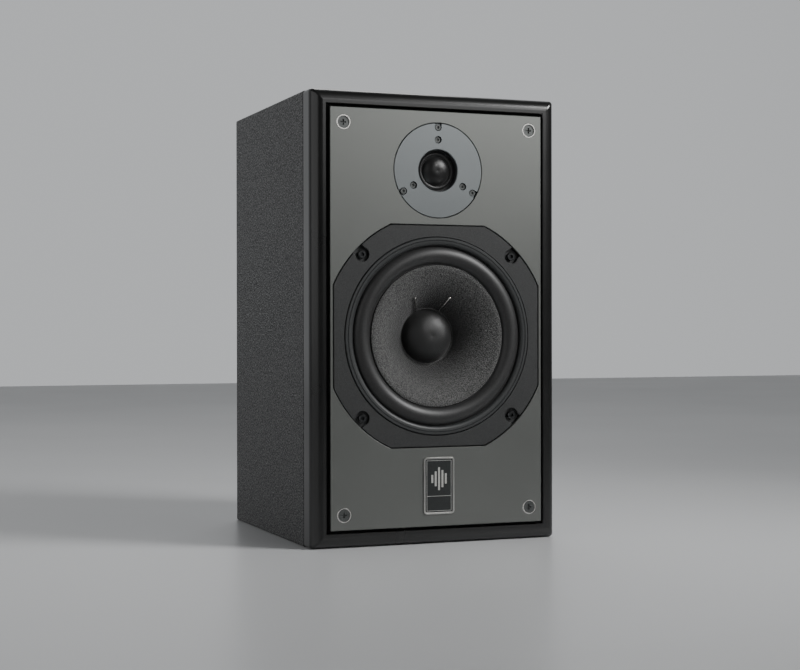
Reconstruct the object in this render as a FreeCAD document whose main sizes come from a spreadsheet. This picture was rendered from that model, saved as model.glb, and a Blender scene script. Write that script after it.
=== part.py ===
import FreeCAD
import Part
import math
import os
import re

import Sketcher

# A two-way closed-box bookshelf loudspeaker, in millimetres.
# The origin is the middle of the cabinet's base. +X is to the right seen from the front, the front faces -Y,
# and +Z is up. Pieces at the front are drawn in a frame whose z points forwards out of the front panel's face,
# and pieces at the back in one whose z points backwards out of the rear panel.

SIZES = {
    # cabinet
    "width": (232, "cabinet, side to side"),
    "height": (396, "cabinet, base to top"),
    "case_depth": (215, "textured case, from the front frame to the back"),
    "wall": (18, "side, top and bottom panels"),
    "rear_wall": (18, "rear panel"),
    "case_round": (1.6, "radius along the case's long edges"),
    "frame_depth": (25, "front frame, front to back"),
    "frame_face": (13.3, "front frame, outer side to inner edge"),
    "frame_round": (10, "radius of the frame's front edge"),
    "frame_corner": (3, "radius of the frame's mitred corners"),
    "frame_ease": (0.7, "chamfer on the frame's inner edge"),
    "shadow_gap": (1.3, "step between the frame and the case, each way"),
    "board_gap": (0.2, "baffle board to the frame round it, each side"),
    "board_groove": (4, "depth of the step round the baffle board's front"),
    # front panel
    "panel_gap": (2.7, "groove between the frame and the front panel"),
    "panel_thick": (3, "front panel"),
    "panel_proud": (2, "front panel's face, in front of the frame's"),
    "panel_bevel": (0.4, "bevel round the front panel and its openings"),
    "screw_inset_x": (12, "panel screw to the panel's side"),
    "screw_inset_z": (13, "panel screw to the panel's top or bottom"),
    "cup_radius": (6.5, "screw cup, outside"),
    "cup_bore": (5.5, "screw cup, inside its rim"),
    "cup_proud": (0.15, "screw cup's rim above the panel"),
    "panel_head_sink": (0.7, "panel screw's head below the panel's face"),
    "panel_shank": (2.2, "panel screw's shank, radius"),
    "panel_screw_length": (20, "panel screw, below its head"),
    "badge_width": (29, "badge"),
    "badge_height": (50, "badge"),
    "badge_z": (51.6, "badge's middle above the base"),
    "badge_corner": (3.2, "badge's corner radius"),
    "badge_thick": (1.2, "badge's rim above the panel"),
    "badge_rim": (1.5, "badge's raised rim, width"),
    "badge_floor": (0.7, "badge's inlay below the top of its rim"),
    "hole_play": (0.1, "clearance round a screw's shank"),
    # woofer chassis
    "woofer_z": (182.8, "woofer's axis above the base"),
    "flange_edge": (6.4, "screw circle to the flange's round sides"),
    "flange_radius": ("woofer_fixings + flange_edge", "woofer flange's round sides"),
    "flat_wall": (9.5, "flange's flats to the trim ring's recess"),
    "flange_flat": ("seat_radius + flat_wall", "woofer's axis to the flange's flats"),
    "flange_thick": (6, "woofer flange"),
    "flange_sink": (0.5, "woofer flange below the panel's face"),
    "flange_play": (0.8, "gap round the woofer flange"),
    "gasket_thick": (1.5, "woofer gasket, squeezed"),
    "fixing_wall": (12.7, "trim ring's recess to the screws' circle"),
    "woofer_fixings": ("seat_radius + fixing_wall", "radius of the woofer screws' circle"),
    "woofer_notch": (6.3, "notch round a woofer screw, radius"),
    "notch_mouth": (5.4, "half of the notch's mouth"),
    "notch_floor": (2.5, "flange left under the notch"),
    "cap_head": (3.5, "woofer screw's head, radius"),
    "cap_head_high": (4, "woofer screw's head, height"),
    "cap_shank": (2, "woofer screw's shank, radius"),
    "woofer_screw_length": (22, "woofer screw, below its head"),
    "seat_wall": (2.5, "trim ring's recess to the hole in the baffle board"),
    "cutout_radius": ("seat_radius + seat_wall", "round hole in the baffle board"),
    "seat_radius": (87.5, "recess for the trim ring"),
    "seat_depth": (3.5, "recess for the trim ring and the surround's lip"),
    "trim_face": (8.2, "trim ring's recess to the ring's inside"),
    "trim_inner": ("seat_radius - trim_face", "trim ring, inside"),
    "trim_play": (0.8, "gap round the trim ring"),
    "trim_proud": (0.3, "trim ring in front of the panel's face"),
    "neck_inset": (3.5, "trim ring's recess to the basket"),
    "basket_neck": ("seat_radius - neck_inset", "basket just behind the flange, radius"),
    "basket_wall": (4, "basket's wall"),
    "ledge_z": (40, "spider's ledge behind the panel's face"),
    "ledge_outer": (61, "spider's ledge, outside"),
    "basket_tube": (52.5, "basket under the ledge, inside"),
    "basket_foot": (38, "basket's foot, inside"),
    "plate_z": (58, "woofer's front plate behind the panel's face"),
    "window_edge": (6.5, "basket's neck to its windows"),
    "window_width": (14, "basket window, inside to outside"),
    "window_outer": ("basket_neck - window_edge", "basket window, outer radius"),
    "window_inner": ("window_outer - window_width", "basket window, inner radius"),
    "arms": (6, "basket arms"),
    "arm_angle": (18, "basket arm, degrees round the axis"),
    # woofer motor
    "front_plate": (8, "woofer's front plate, thickness"),
    "plate_radius": (56, "woofer's front and back plates"),
    "magnet_radius": (61, "woofer's magnet, outside"),
    "magnet_bore": (32, "woofer's magnet, inside"),
    "magnet_thick": (22, "woofer's magnet"),
    "back_plate": (9, "woofer's back plate, thickness"),
    "pole_play": (0.7, "pole to the coil's former"),
    "pole_radius": ("former_radius - pole_play", "woofer's pole"),
    "pole_vent": (7, "vent through the woofer's pole, radius"),
    "coil_play": (0.7, "winding to the front plate"),
    "gap_bore": (
        "former_radius + former_thick + coil_thick + coil_play",
        "front plate's hole round the coil",
    ),
    # woofer moving parts
    "former_radius": (22.3, "coil former, inside"),
    "former_thick": (0.3, "coil former's wall"),
    "coil_thick": (1.1, "woofer's winding"),
    "coil_high": (13, "woofer's winding, length"),
    "neck_z": (31.5, "cone's neck behind the panel's face"),
    "dust_radius": (24.3, "dust cap"),
    "dust_z": (28.2, "dust cap's rim behind the panel's face"),
    "dust_high": (14, "dust cap's rise"),
    "dust_thick": (0.8, "dust cap's wall"),
    "glue_line": (0.05, "gap between glued pieces"),
    "cone_gap": (1.4, "cone's edge to the foot of the roll"),
    "cone_radius": ("roll_inner - cone_gap", "cone's outer edge"),
    "cone_z": (2, "cone's edge behind the panel's face"),
    "cone_rim": (3, "flat rim round the cone"),
    "cone_thick": (1, "cone's wall"),
    "cone_curve": (85, "radius of the cone's curved flank"),
    "roll_play": (0.5, "trim ring to the foot of the roll"),
    "roll_width": (15.2, "surround's roll, foot to foot"),
    "roll_outer": ("trim_inner - roll_play", "surround's roll, outer foot"),
    "roll_inner": ("roll_outer - roll_width", "surround's roll, inner foot"),
    "roll_high": (5.6, "surround's roll, height"),
    "surround_thick": (0.6, "surround's wall"),
    "surround_lip": (2.8, "surround's lip under the cone's rim"),
    "spider_thick": (0.5, "spider's cloth"),
    "spider_waves": (12, "half waves in the spider"),
    "spider_rise": (0.9, "spider's waves, height"),
    "spider_hub": (25.5, "spider's first wave, radius"),
    "spider_rim": (52.3, "spider's last wave, radius"),
    "spider_radius": (57.5, "spider, outside"),
    "eyelet_x": (16.7, "lead eyelet from the cone's middle line"),
    "eyelet_y": (34.3, "lead eyelet above the woofer's axis"),
    "eyelet_radius": (1.1, "lead eyelet"),
    "lead_radius": (0.4, "coil lead on the cone"),
    "tag_x": (7, "woofer tag from the middle line"),
    "tag_z": (30, "woofer tags behind the panel's face"),
    "tag_pin": (1.4, "woofer tag's pin, radius"),
    "tag_inner": (60, "woofer tag's inner end from the axis"),
    "tag_outer": (80, "woofer tag's outer end from the axis"),
    # tweeter
    "tweeter_z": (328.2, "tweeter's axis above the base"),
    "face_radius": (41.4, "tweeter's face plate"),
    "face_play": (0.5, "gap round the tweeter's face plate"),
    "face_thick": (4, "tweeter's face plate"),
    "face_gasket": (1, "tweeter's gasket, squeezed"),
    "boss_radius": (34, "boss behind the tweeter's face plate"),
    "boss_play": (0.5, "gap round the tweeter's boss"),
    "mouth_radius": (18.4, "tweeter's mouth"),
    "mouth_bevel": (0.6, "bevel round the tweeter's mouth"),
    "motor_z": (6.5, "tweeter's front plate behind the panel's face"),
    "motor_fixings": (27, "radius of the tweeter motor screws' circle"),
    "motor_pocket": (3.3, "pocket round a tweeter motor screw, radius"),
    "motor_pocket_deep": (3.4, "pocket round a tweeter motor screw, depth"),
    "face_fixings": (37.8, "radius of the tweeter fixing screws' circle"),
    "face_notch": (3.2, "notch round a tweeter fixing screw, radius"),
    "face_notch_deep": (2.6, "notch round a tweeter fixing screw, depth"),
    "small_head": (2.7, "tweeter screw's head, radius"),
    "small_head_high": (2.3, "tweeter screw's head, height"),
    "small_shank": (1.5, "tweeter screw's shank, radius"),
    "motor_screw_length": (6, "tweeter motor screw, below its head"),
    "face_screw_length": (16, "tweeter fixing screw, below its head"),
    "dome_radius": (13, "tweeter's dome"),
    "dome_high": (5.4, "tweeter's dome, rise"),
    "dome_thick": (0.35, "tweeter's dome, wall"),
    "dome_z": (6.2, "tweeter dome's base behind the panel's face"),
    "ripple_outer": (16.9, "tweeter surround's roll, outer foot"),
    "ripple_high": (1.4, "tweeter surround's roll, height"),
    "ripple_thick": (0.3, "tweeter surround's wall"),
    "ripple_lip": (20, "tweeter surround, outside"),
    "small_former": (12.55, "tweeter's former, inside"),
    "small_former_thick": (0.25, "tweeter's former, wall"),
    "small_former_end": (14, "tweeter former's end behind the panel's face"),
    "small_coil_thick": (0.5, "tweeter's winding"),
    "small_coil_high": (3.4, "tweeter's winding, length"),
    "small_plate": (5, "tweeter's front plate, thickness"),
    "small_plate_radius": (32, "tweeter's front and back plates"),
    "small_gap_bore": (13.8, "tweeter front plate's hole round the coil"),
    "small_pole": (12.1, "tweeter's pole"),
    "small_pole_sink": (1.2, "tweeter's pole below its front plate"),
    "small_vent": (4, "hole through the tweeter's pole, radius"),
    "small_magnet": (33, "tweeter's magnet, outside"),
    "small_magnet_bore": (17.5, "tweeter's magnet, inside"),
    "small_magnet_thick": (14, "tweeter's magnet"),
    "small_back_plate": (5, "tweeter's back plate, thickness"),
    "strip_wide": (22, "tweeter's tag strip, width"),
    "strip_high": (8, "tweeter's tag strip, height"),
    "strip_thick": (2, "tweeter's tag strip, thickness"),
    "strip_tag_x": (7, "tweeter tag from the middle line"),
    "strip_tag_long": (9, "tweeter tag, length"),
    # terminals
    "terminal_z": (84, "terminal plate's middle above the base"),
    "terminal_width": (110, "terminal plate"),
    "terminal_height": (70, "terminal plate"),
    "terminal_thick": (3, "terminal plate"),
    "terminal_corner": (6, "terminal plate's corner radius"),
    "terminal_play": (0.4, "gap round the terminal plate"),
    "terminal_cutout_x": (78, "hole behind the terminal plate, width"),
    "terminal_cutout_z": (42, "hole behind the terminal plate, height"),
    "terminal_inset": (8, "terminal plate's screw to its edges"),
    "pan_head": (3.6, "terminal plate screw's head, radius"),
    "pan_head_high": (2.4, "terminal plate screw's head, height"),
    "pan_shank": (1.9, "terminal plate screw's shank, radius"),
    "pan_length": (14, "terminal plate screw, below its head"),
    "post_spacing": (19.05, "between the two binding posts"),
    "stem_radius": (4, "binding post's threaded stem"),
    "stem_out": (22, "stem outside the plate"),
    "stem_in": (17, "stem inside the plate's outer face"),
    "socket_radius": (2, "4 mm plug socket in the stem"),
    "socket_deep": (18, "plug socket, depth"),
    "wire_hole": (1.6, "wire hole through the stem, radius"),
    "wire_hole_z": (7.4, "wire hole above the plate"),
    "stem_play": (0.06, "thread clearance round the stem"),
    "collar_radius": (8.6, "insulating collar"),
    "collar_high": (5, "insulating collar"),
    "sleeve_radius": (5.2, "collar's sleeve through the plate"),
    "washer_radius": (7.4, "clamp washer"),
    "washer_thick": (1.5, "clamp washer"),
    "washer_play": (0.1, "clamp washer to its neighbours"),
    "knob_radius": (8.5, "binding post's knob"),
    "knob_end": (24, "knob's outer end above the plate"),
    "knob_wall": (1.5, "knob's end wall"),
    "knob_mouth": (2.4, "plug hole in the knob's end, radius"),
    "knob_flutes": (12, "flutes round the knob"),
    "flute_radius": (1, "knob's flute"),
    "inner_washer": (1.5, "insulating washer behind the plate"),
    "nut_across": (13, "post nut, across its flats"),
    "nut_thick": (5, "post nut"),
    "tag_thick": (0.8, "solder tag"),
    "solder_tag_long": (15, "solder tag, from the post's axis"),
    "solder_tag_wide": (5, "solder tag's tail"),
    # crossover
    "board_width": (110, "crossover board"),
    "board_height": (130, "crossover board"),
    "board_thick": (1.6, "crossover board"),
    "board_z": (226, "crossover board's middle above the base"),
    "board_inset": (7, "standoff to the board's edges"),
    "standoff_radius": (4, "board standoff"),
    "standoff_high": (10, "board standoff"),
    "board_screw_head": (3, "board screw's head, radius"),
    "board_screw_head_high": (2, "board screw's head, height"),
    "board_screw_shank": (1.5, "board screw's shank, radius"),
    "board_screw_bite": (10, "board screw in the rear panel"),
    "inductor_radius": (21, "inductor's winding, outside"),
    "inductor_bore": (9, "inductor's winding, inside"),
    "inductor_high": (18, "inductor's winding"),
    "inductor_x": (27, "inductors from the board's middle line"),
    "inductor_y": (36, "inductors above the board's middle"),
    "capacitor_radius": (9, "capacitor"),
    "capacitor_long": (36, "capacitor"),
    "capacitor_x": (26, "capacitors from the board's middle line"),
    "capacitor_top": (2, "first row of capacitors above the board's middle"),
    "capacitor_row": (22, "between rows of capacitors"),
    "resistor_wide": (46, "resistor"),
    "resistor_high": (9, "resistor"),
    "resistor_y": (43, "resistors below the board's middle"),
    "resistor_x": (27, "resistors from the board's middle line"),
    # inside
    "foam_thick": (14, "acoustic foam pad"),
    "foam_clear": (8, "foam pad to the panels at its ends"),
    "side_foam_high": (300, "side pad, height"),
    "foam_end": (13.5, "foam pads to the baffle board and the rear panel"),
    "top_foam_front": (50, "top pad's front behind the others"),
    "top_foam_rear": (10, "top pad's rear in front of the others"),
    "wire_radius": (1.3, "hook-up wire"),
}

FRONT_PLANE = "-(case_depth + frame_depth) / 2 - panel_proud"
REAR_PLANE = "(case_depth + frame_depth) / 2"
PANEL_WIDTH = "(width - 2 * frame_face - 2 * panel_gap)"
PANEL_HEIGHT = "(height - 2 * frame_face - 2 * panel_gap)"
BOARD_BACK = "(panel_proud + frame_depth)"
FLANGE_BACK = "(flange_sink + flange_thick)"
SEAT_Z = "(flange_sink + seat_depth)"
MAGNET_Z = "(plate_z + front_plate)"
BACK_PLATE_Z = "(plate_z + front_plate + magnet_thick)"
COIL_RADIUS = "(former_radius + former_thick)"
COIL_MIDDLE = "(plate_z + front_plate / 2)"
SMALL_MAGNET_Z = "(motor_z + small_plate)"
SMALL_BACK_Z = "(motor_z + small_plate + small_magnet_thick)"
SMALL_COIL_RADIUS = "(small_former + small_former_thick)"
KNOB_Z = "(collar_high + washer_thick + 2 * washer_play)"

FACING_FRONT = FreeCAD.Rotation(FreeCAD.Vector(1, 0, 0), 90)
FACING_REAR = FreeCAD.Rotation(
    FreeCAD.Vector(-1, 0, 0), FreeCAD.Vector(0, 0, 1), FreeCAD.Vector(0, 1, 0), "XYZ"
)
WORD = re.compile(r"[a-z][a-z_]*")

doc = FreeCAD.newDocument("bookshelf_speaker")
sheet = doc.addObject("Spreadsheet::Sheet", "sizes")
nodes = []


# ---------------------------------------------------------------- sizes and formulas


def fill_sheet():
    """Puts each size in a cell of its own, with its name as the cell's alias. A size in words is a formula."""
    for row, (name, (size, note)) in enumerate(SIZES.items(), 1):
        sheet.set(f"A{row}", name)
        sheet.set(f"C{row}", note)
        sheet.setAlias(f"B{row}", name)
    for row, (size, note) in enumerate(SIZES.values(), 1):
        sheet.set(f"B{row}", f"={size}" if isinstance(size, str) else str(size))
    doc.recompute()


def bound(formula):
    """The formula with each size's name pointing at its cell."""
    return WORD.sub(lambda m: f"sizes.{m[0]}" if m[0] in SIZES else m[0], formula)


def value(formula):
    """What the formula comes to with the sheet's present sizes."""
    return float(sheet.evalExpression(bound(formula)))


def bind(thing, path, formula):
    """Ties one property of an object to a formula of the sheet's sizes."""
    thing.setExpression(path, bound(formula))


# ---------------------------------------------------------------- making pieces


def place(piece, rotation, x="0", y="0", z="0"):
    """Puts a piece in the cabinet's frame, its position bound to the sheet."""
    piece.Placement = FreeCAD.Placement(FreeCAD.Vector(value(x), value(y), value(z)), rotation)
    for axis, formula in (("x", x), ("y", y), ("z", z)):
        bind(piece, f"Placement.Base.{axis}", formula)


def new_body(label, rotation=FACING_FRONT, x="0", y=FRONT_PLANE, z="0", spin=0):
    """An empty body that becomes the node called label."""
    body = doc.addObject("PartDesign::Body", label)
    body.Label = label
    about_own_axis = FreeCAD.Rotation(FreeCAD.Vector(0, 0, 1), spin)
    place(body, rotation.multiply(about_own_axis), x, y, z)
    nodes.append(body)
    return body


def origin_feature(body, role):
    """One of the body's own planes or axes."""
    return next(o for o in body.Origin.OriginFeatures if o.Role == role)


def fix_point(sketch, geometry, vertex, u, v):
    """Holds a sketch point at formulas measured from the sketch's origin."""
    for kind, formula in (("DistanceX", u), ("DistanceY", v)):
        row = sketch.addConstraint(
            Sketcher.Constraint(kind, -1, 1, geometry, vertex, value(formula))
        )
        bind(sketch, f"Constraints[{row}]", formula)


def fix_radius(sketch, geometry, radius):
    """Holds the radius of a circle or an arc at a formula."""
    row = sketch.addConstraint(Sketcher.Constraint("Radius", geometry, value(radius)))
    bind(sketch, f"Constraints[{row}]", radius)


def arc_between(start, end, radius, turn):
    """The arc of under half a turn from start to end, bending left or right."""
    chord = end - start
    side = 1 if turn == "left" else -1
    away = math.sqrt(max(radius**2 - chord.Length**2 / 4, 0))
    across = FreeCAD.Vector(-chord.y, chord.x, 0).normalize() * side
    centre = (start + end) * 0.5 + across * away
    first, last = (start, end) if turn == "left" else (end, start)
    angles = [math.atan2(p.y - centre.y, p.x - centre.x) for p in (first, last)]
    circle = Part.Circle(centre, FreeCAD.Vector(0, 0, 1), radius)
    return Part.ArcOfCircle(circle, *angles)


def outline(sketch, corners):
    """A closed outline. A corner is (u, v), reached by a line, or (u, v, "left" or "right", radius),
    reached by an arc that bends that way."""
    points = [FreeCAD.Vector(value(c[0]), value(c[1]), 0) for c in corners]
    first = sketch.GeometryCount
    ends = []
    for i, corner in enumerate(corners):
        start, end = points[i - 1], points[i]
        if len(corner) == 2:
            sketch.addGeometry(Part.LineSegment(start, end), False)
            ends.append((1, 2))
        else:
            sketch.addGeometry(arc_between(start, end, value(corner[3]), corner[2]), False)
            ends.append((1, 2) if corner[2] == "left" else (2, 1))
    count = len(corners)
    for i, corner in enumerate(corners):
        here, following = first + i, first + (i + 1) % count
        sketch.addConstraint(
            Sketcher.Constraint("Coincident", here, ends[i][1], following, ends[(i + 1) % count][0])
        )
        fix_point(sketch, here, ends[i][1], corner[0], corner[1])
        if len(corner) == 4:
            fix_radius(sketch, here, corner[3])


def circle(sketch, u, v, radius):
    """A circle at a bound place, with a bound radius."""
    centre = FreeCAD.Vector(value(u), value(v), 0)
    row = sketch.addGeometry(
        Part.Circle(centre, FreeCAD.Vector(0, 0, 1), value(radius)), False
    )
    fix_point(sketch, row, 3, u, v)
    fix_radius(sketch, row, radius)


def new_sketch(body, plane="XY_Plane", across="0", up="0", out="0", turn=0):
    """A sketch on one of the body's planes, moved across and up in that plane and out of it, and turned."""
    sketch = body.newObject("Sketcher::SketchObject", "sketch")
    sketch.AttachmentSupport = [(origin_feature(body, plane), "")]
    sketch.MapMode = "FlatFace"
    shift = FreeCAD.Vector(value(across), value(up), value(out))
    spin = FreeCAD.Rotation(FreeCAD.Vector(0, 0, 1), turn)
    sketch.AttachmentOffset = FreeCAD.Placement(shift, spin)
    for axis, formula in (("x", across), ("y", up), ("z", out)):
        if formula != "0":
            bind(sketch, f"AttachmentOffset.Base.{axis}", formula)
    return sketch


def pad(body, sketch, length, backwards=True):
    """Solid from a sketch, backwards from its plane unless told otherwise."""
    feature = body.newObject("PartDesign::Pad", "pad")
    feature.Profile = sketch
    feature.Reversed = backwards
    bind(feature, "Length", length)
    return feature


def pocket(body, sketch, depth, forwards=False):
    """A cut from a sketch, backwards into the solid unless told otherwise."""
    feature = body.newObject("PartDesign::Pocket", "pocket")
    feature.Profile = sketch
    feature.Reversed = forwards
    bind(feature, "Length", depth)
    return feature


def revolve(body, corners, across="0"):
    """A turned solid from (radius, height) corners, about the body's z axis or one moved across."""
    sketch = new_sketch(body, "XZ_Plane", across=across)
    outline(sketch, corners)
    feature = body.newObject("PartDesign::Revolution", "turned")
    feature.Profile = sketch
    feature.ReferenceAxis = (sketch, ["V_Axis"])
    feature.Angle = 360
    return feature


def around(body, features, count):
    """Repeats features evenly about the body's z axis."""
    feature = body.newObject("PartDesign::PolarPattern", "pattern")
    feature.Originals = features
    feature.Axis = (origin_feature(body, "Z_Axis"), [""])
    feature.Angle = 360
    bind(feature, "Occurrences", count)
    body.Tip = feature
    return feature


def mirror(body, features, plane):
    """Repeats features on the other side of one of the body's planes."""
    feature = body.newObject("PartDesign::Mirrored", "mirrored")
    feature.Originals = features
    feature.MirrorPlane = (origin_feature(body, plane), [""])
    body.Tip = feature
    return feature


def four_corners(body, features):
    """Repeats features in the four quarters of the body's XY plane."""
    both = body.newObject("PartDesign::MultiTransform", "four_corners")
    both.Originals = features
    body.Tip = both
    steps = []
    for plane in ("YZ_Plane", "XZ_Plane"):
        step = body.newObject("PartDesign::Mirrored", "mirrored")
        step.MirrorPlane = (origin_feature(body, plane), [""])
        steps.append(step)
    both.Transformations = steps
    body.Tip = both
    return both


def ease(body, kind, size, is_wanted):
    """Fillets or chamfers the edges of the body's tip that is_wanted picks."""
    doc.recompute()
    base = body.Tip
    names = [f"Edge{i}" for i, e in enumerate(base.Shape.Edges, 1) if is_wanted(e)]
    feature = body.newObject(f"PartDesign::{kind}", kind.lower())
    feature.Base = (base, names)
    bind(feature, "Radius" if kind == "Fillet" else "Size", size)
    return feature


def at_height(edge, height, tolerance=1e-4):
    """True if the whole edge lies at this z in the body's frame."""
    return abs(edge.BoundBox.ZMin - height) < tolerance and abs(edge.BoundBox.ZMax - height) < tolerance


def rectangle(wide, high, corner=None, middle="0"):
    """Corners of a rectangle about (0, middle), with round corners if asked."""
    x, low, top = f"{wide} / 2", f"({middle}) - {high} / 2", f"({middle}) + {high} / 2"
    if corner is None:
        return [(f"-{x}", low), (x, low), (x, top), (f"-{x}", top)]
    return [
        (f"-{x} + {corner}", low, "left", corner),
        (f"{x} - {corner}", low),
        (x, f"{low} + {corner}", "left", corner),
        (x, f"{top} - {corner}"),
        (f"{x} - {corner}", top, "left", corner),
        (f"-{x} + {corner}", top),
        (f"-{x}", f"{top} - {corner}", "left", corner),
        (f"-{x}", f"{low} + {corner}"),
    ]


def ring(inner, outer, front, back):
    """(radius, height) corners of a plain ring between two heights."""
    return [(inner, front), (inner, back), (outer, back), (outer, front)]


def hexagon(across_flats):
    """Corners of a hexagon of that size across its flats."""
    radius = f"{across_flats} / sqrt(3)"
    return [(f"{radius} * cos({60 * i})", f"{radius} * sin({60 * i})") for i in range(6)]


def solid_node(label, shape, rotation=FreeCAD.Rotation(), x="0", y="0", z="0"):
    """A node whose shape is made by code from the sheet's sizes."""
    feature = doc.addObject("Part::Feature", label)
    feature.Label = label
    feature.Shape = shape
    place(feature, rotation, x, y, z)
    nodes.append(feature)
    return feature


def box(x, y, z, wide, deep, high):
    """A box with its middle at x, y and its underside at z, in any frame."""
    corner = FreeCAD.Vector(x - wide / 2, y - deep / 2, z)
    return Part.makeBox(wide, deep, high, corner)


def rod(radius, start, end):
    """A round rod from one point to another."""
    a, b = FreeCAD.Vector(*start), FreeCAD.Vector(*end)
    return Part.makeCylinder(radius, (b - a).Length, a, b - a)


def tube_along(points, radius):
    """A wire's solid: straight runs through the points, joined by the largest arcs that the runs allow."""
    corners = [FreeCAD.Vector(*p) for p in points]
    edges, here = [], corners[0]
    for before, corner, after in zip(corners, corners[1:], corners[2:]):
        back, ahead = before - corner, after - corner
        half = back.getAngle(ahead) / 2
        reach = 0.45 * min(back.Length, ahead.Length)
        start = corner + back.normalize() * reach
        end = corner + ahead.normalize() * reach
        middle = (back + ahead).normalize()
        centre = corner + middle * (reach / math.cos(half))
        bend = reach * math.tan(half)
        edges.append(Part.LineSegment(here, start).toShape())
        edges.append(Part.Arc(start, centre - middle * bend, end).toShape())
        here = end
    edges.append(Part.LineSegment(here, corners[-1]).toShape())
    path = Part.Wire(edges)
    along = corners[1] - corners[0]
    section = Part.Wire([Part.Circle(corners[0], along, radius).toShape()])
    return path.makePipeShell([section], True, True)


# ---------------------------------------------------------------- cabinet


def case_panel(label, length, rotation, x="0", z="0"):
    """One mitred side of the case. It is drawn along its length, with its outer face at v = 0."""
    body = new_body(label, rotation, x=x, y=f"{REAR_PLANE} - case_depth", z=z)
    half = f"{length} / 2"
    shy = "case_round * (1 - 1 / sqrt(2))"
    sketch = new_sketch(body)
    outline(
        sketch,
        [
            (f"-({half}) + wall", "-wall"),
            (f"{half} - wall", "-wall"),
            (f"{half} - {shy}", f"-({shy})"),
            (f"{half} - case_round", "0", "left", "case_round"),
            (f"-({half}) + case_round", "0"),
            (f"-({half}) + {shy}", f"-({shy})", "left", "case_round"),
        ],
    )
    pad(body, sketch, "case_depth")


def case():
    """Left, right, top and bottom panels, mitred where they meet."""
    turned = FACING_FRONT.multiply
    about_z = lambda angle: turned(FreeCAD.Rotation(FreeCAD.Vector(0, 0, 1), angle))
    case_panel("side_panel_left", "height", about_z(90), x="-width / 2", z="height / 2")
    case_panel("side_panel_right", "height", about_z(-90), x="width / 2", z="height / 2")
    case_panel("top_panel", "width", about_z(0), z="height")
    case_panel("bottom_panel", "width", about_z(180))


def rear_panel():
    """Back of the case, with a recess and a hole for the terminal plate."""
    body = new_body("rear_panel", FACING_REAR, y=REAR_PLANE)
    blank = new_sketch(body)
    outline(blank, rectangle("(width - 2 * wall)", "(height - 2 * wall)", middle="height / 2"))
    pad(body, blank, "rear_wall")
    recess = new_sketch(body)
    outline(
        recess,
        rectangle(
            "(terminal_width + 2 * terminal_play)",
            "(terminal_height + 2 * terminal_play)",
            "(terminal_corner + terminal_play)",
            "terminal_z",
        ),
    )
    pocket(body, recess, "terminal_thick")
    hole = new_sketch(body)
    outline(hole, rectangle("terminal_cutout_x", "terminal_cutout_z", middle="terminal_z"))
    pocket(body, hole, "rear_wall")
    pilots = new_sketch(body)
    for side in ("", "-"):
        for level in ("+", "-"):
            circle(
                pilots,
                f"{side}(terminal_width / 2 - terminal_inset)",
                f"terminal_z {level} (terminal_height / 2 - terminal_inset)",
                "(pan_shank + hole_play)",
            )
    pocket(body, pilots, "(pan_length + 1)")
    board_holes = new_sketch(body, out="-rear_wall")
    for side in ("", "-"):
        for level in ("+", "-"):
            circle(
                board_holes,
                f"{side}(board_width / 2 - board_inset)",
                f"board_z {level} (board_height / 2 - board_inset)",
                "(board_screw_shank + hole_play)",
            )
    pocket(body, board_holes, "(board_screw_bite + 1)", forwards=True)


def front_frame():
    """Mitred frame with a large round on its front edge, stepped in where it meets the case."""
    body = new_body("front_frame")
    inner = rectangle(
        "(width - 2 * frame_face)", "(height - 2 * frame_face)", middle="height / 2"
    )
    ring_sketch = new_sketch(body, out="-panel_proud")
    outline(ring_sketch, rectangle("width", "height", middle="height / 2"))
    outline(ring_sketch, inner)
    pad(body, ring_sketch, "(frame_depth - shadow_gap)")
    back_sketch = new_sketch(body, out="-(panel_proud + frame_depth)")
    outline(
        back_sketch,
        rectangle("(width - 2 * shadow_gap)", "(height - 2 * shadow_gap)", middle="height / 2"),
    )
    outline(back_sketch, inner)
    pad(body, back_sketch, "shadow_gap", backwards=False)
    front, half_wide = -value("panel_proud"), value("width / 2")
    high = value("height")

    def outer_front(edge):
        box = edge.BoundBox
        on_side = abs(abs(box.Center.x) - half_wide) < 1e-3
        on_end = min(abs(box.Center.y), abs(box.Center.y - high)) < 1e-3
        return at_height(edge, front) and (on_side or on_end)

    ease(body, "Fillet", "frame_round", outer_front)
    inner_half = value("width / 2 - frame_face")

    def at_corner(edge):
        ends = edge.Vertexes
        if len(ends) != 2 or abs(ends[0].Z - ends[1].Z) < 1:
            return False
        outside = [abs(v.X) > inner_half + 1e-3 for v in ends]
        step = value("width / 2 - shadow_gap")
        return all(outside) and not all(abs(abs(v.X) - step) < 1e-3 for v in ends)

    ease(body, "Fillet", "frame_corner", at_corner)

    def inner_front(edge):
        box = edge.BoundBox
        if not at_height(edge, front):
            return False
        middle = box.Center
        beside = abs(abs(middle.x) - inner_half) < 1e-3
        above = abs(abs(middle.y - high / 2) - (high / 2 - value("frame_face"))) < 1e-3
        return beside or above

    ease(body, "Chamfer", "frame_ease", inner_front)


def flange_outline(grow="0", middle="0"):
    """The woofer flange's outline: a circle with four flats, grown by a clearance."""
    radius, flat = f"(flange_radius + {grow})", f"(flange_flat + {grow})"
    short = f"sqrt({radius}^2 - {flat}^2)"
    at = lambda u, v: (u, f"({middle}) + {v}")
    return [
        at(f"-{short}", f"-{flat}") + ("left", radius),
        at(short, f"-{flat}"),
        at(flat, f"-{short}") + ("left", radius),
        at(flat, short),
        at(short, flat) + ("left", radius),
        at(f"-{short}", flat),
        at(f"-{flat}", short) + ("left", radius),
        at(f"-{flat}", f"-{short}"),
    ]


def panel_screw_places():
    """The four panel screws' (x, height) formulas."""
    x = f"({PANEL_WIDTH} / 2 - screw_inset_x)"
    edge = f"({PANEL_HEIGHT} / 2 - screw_inset_z)"
    return [(f"{s}{x}", f"height / 2 {t} {edge}") for s in ("", "-") for t in ("+", "-")]


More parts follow.
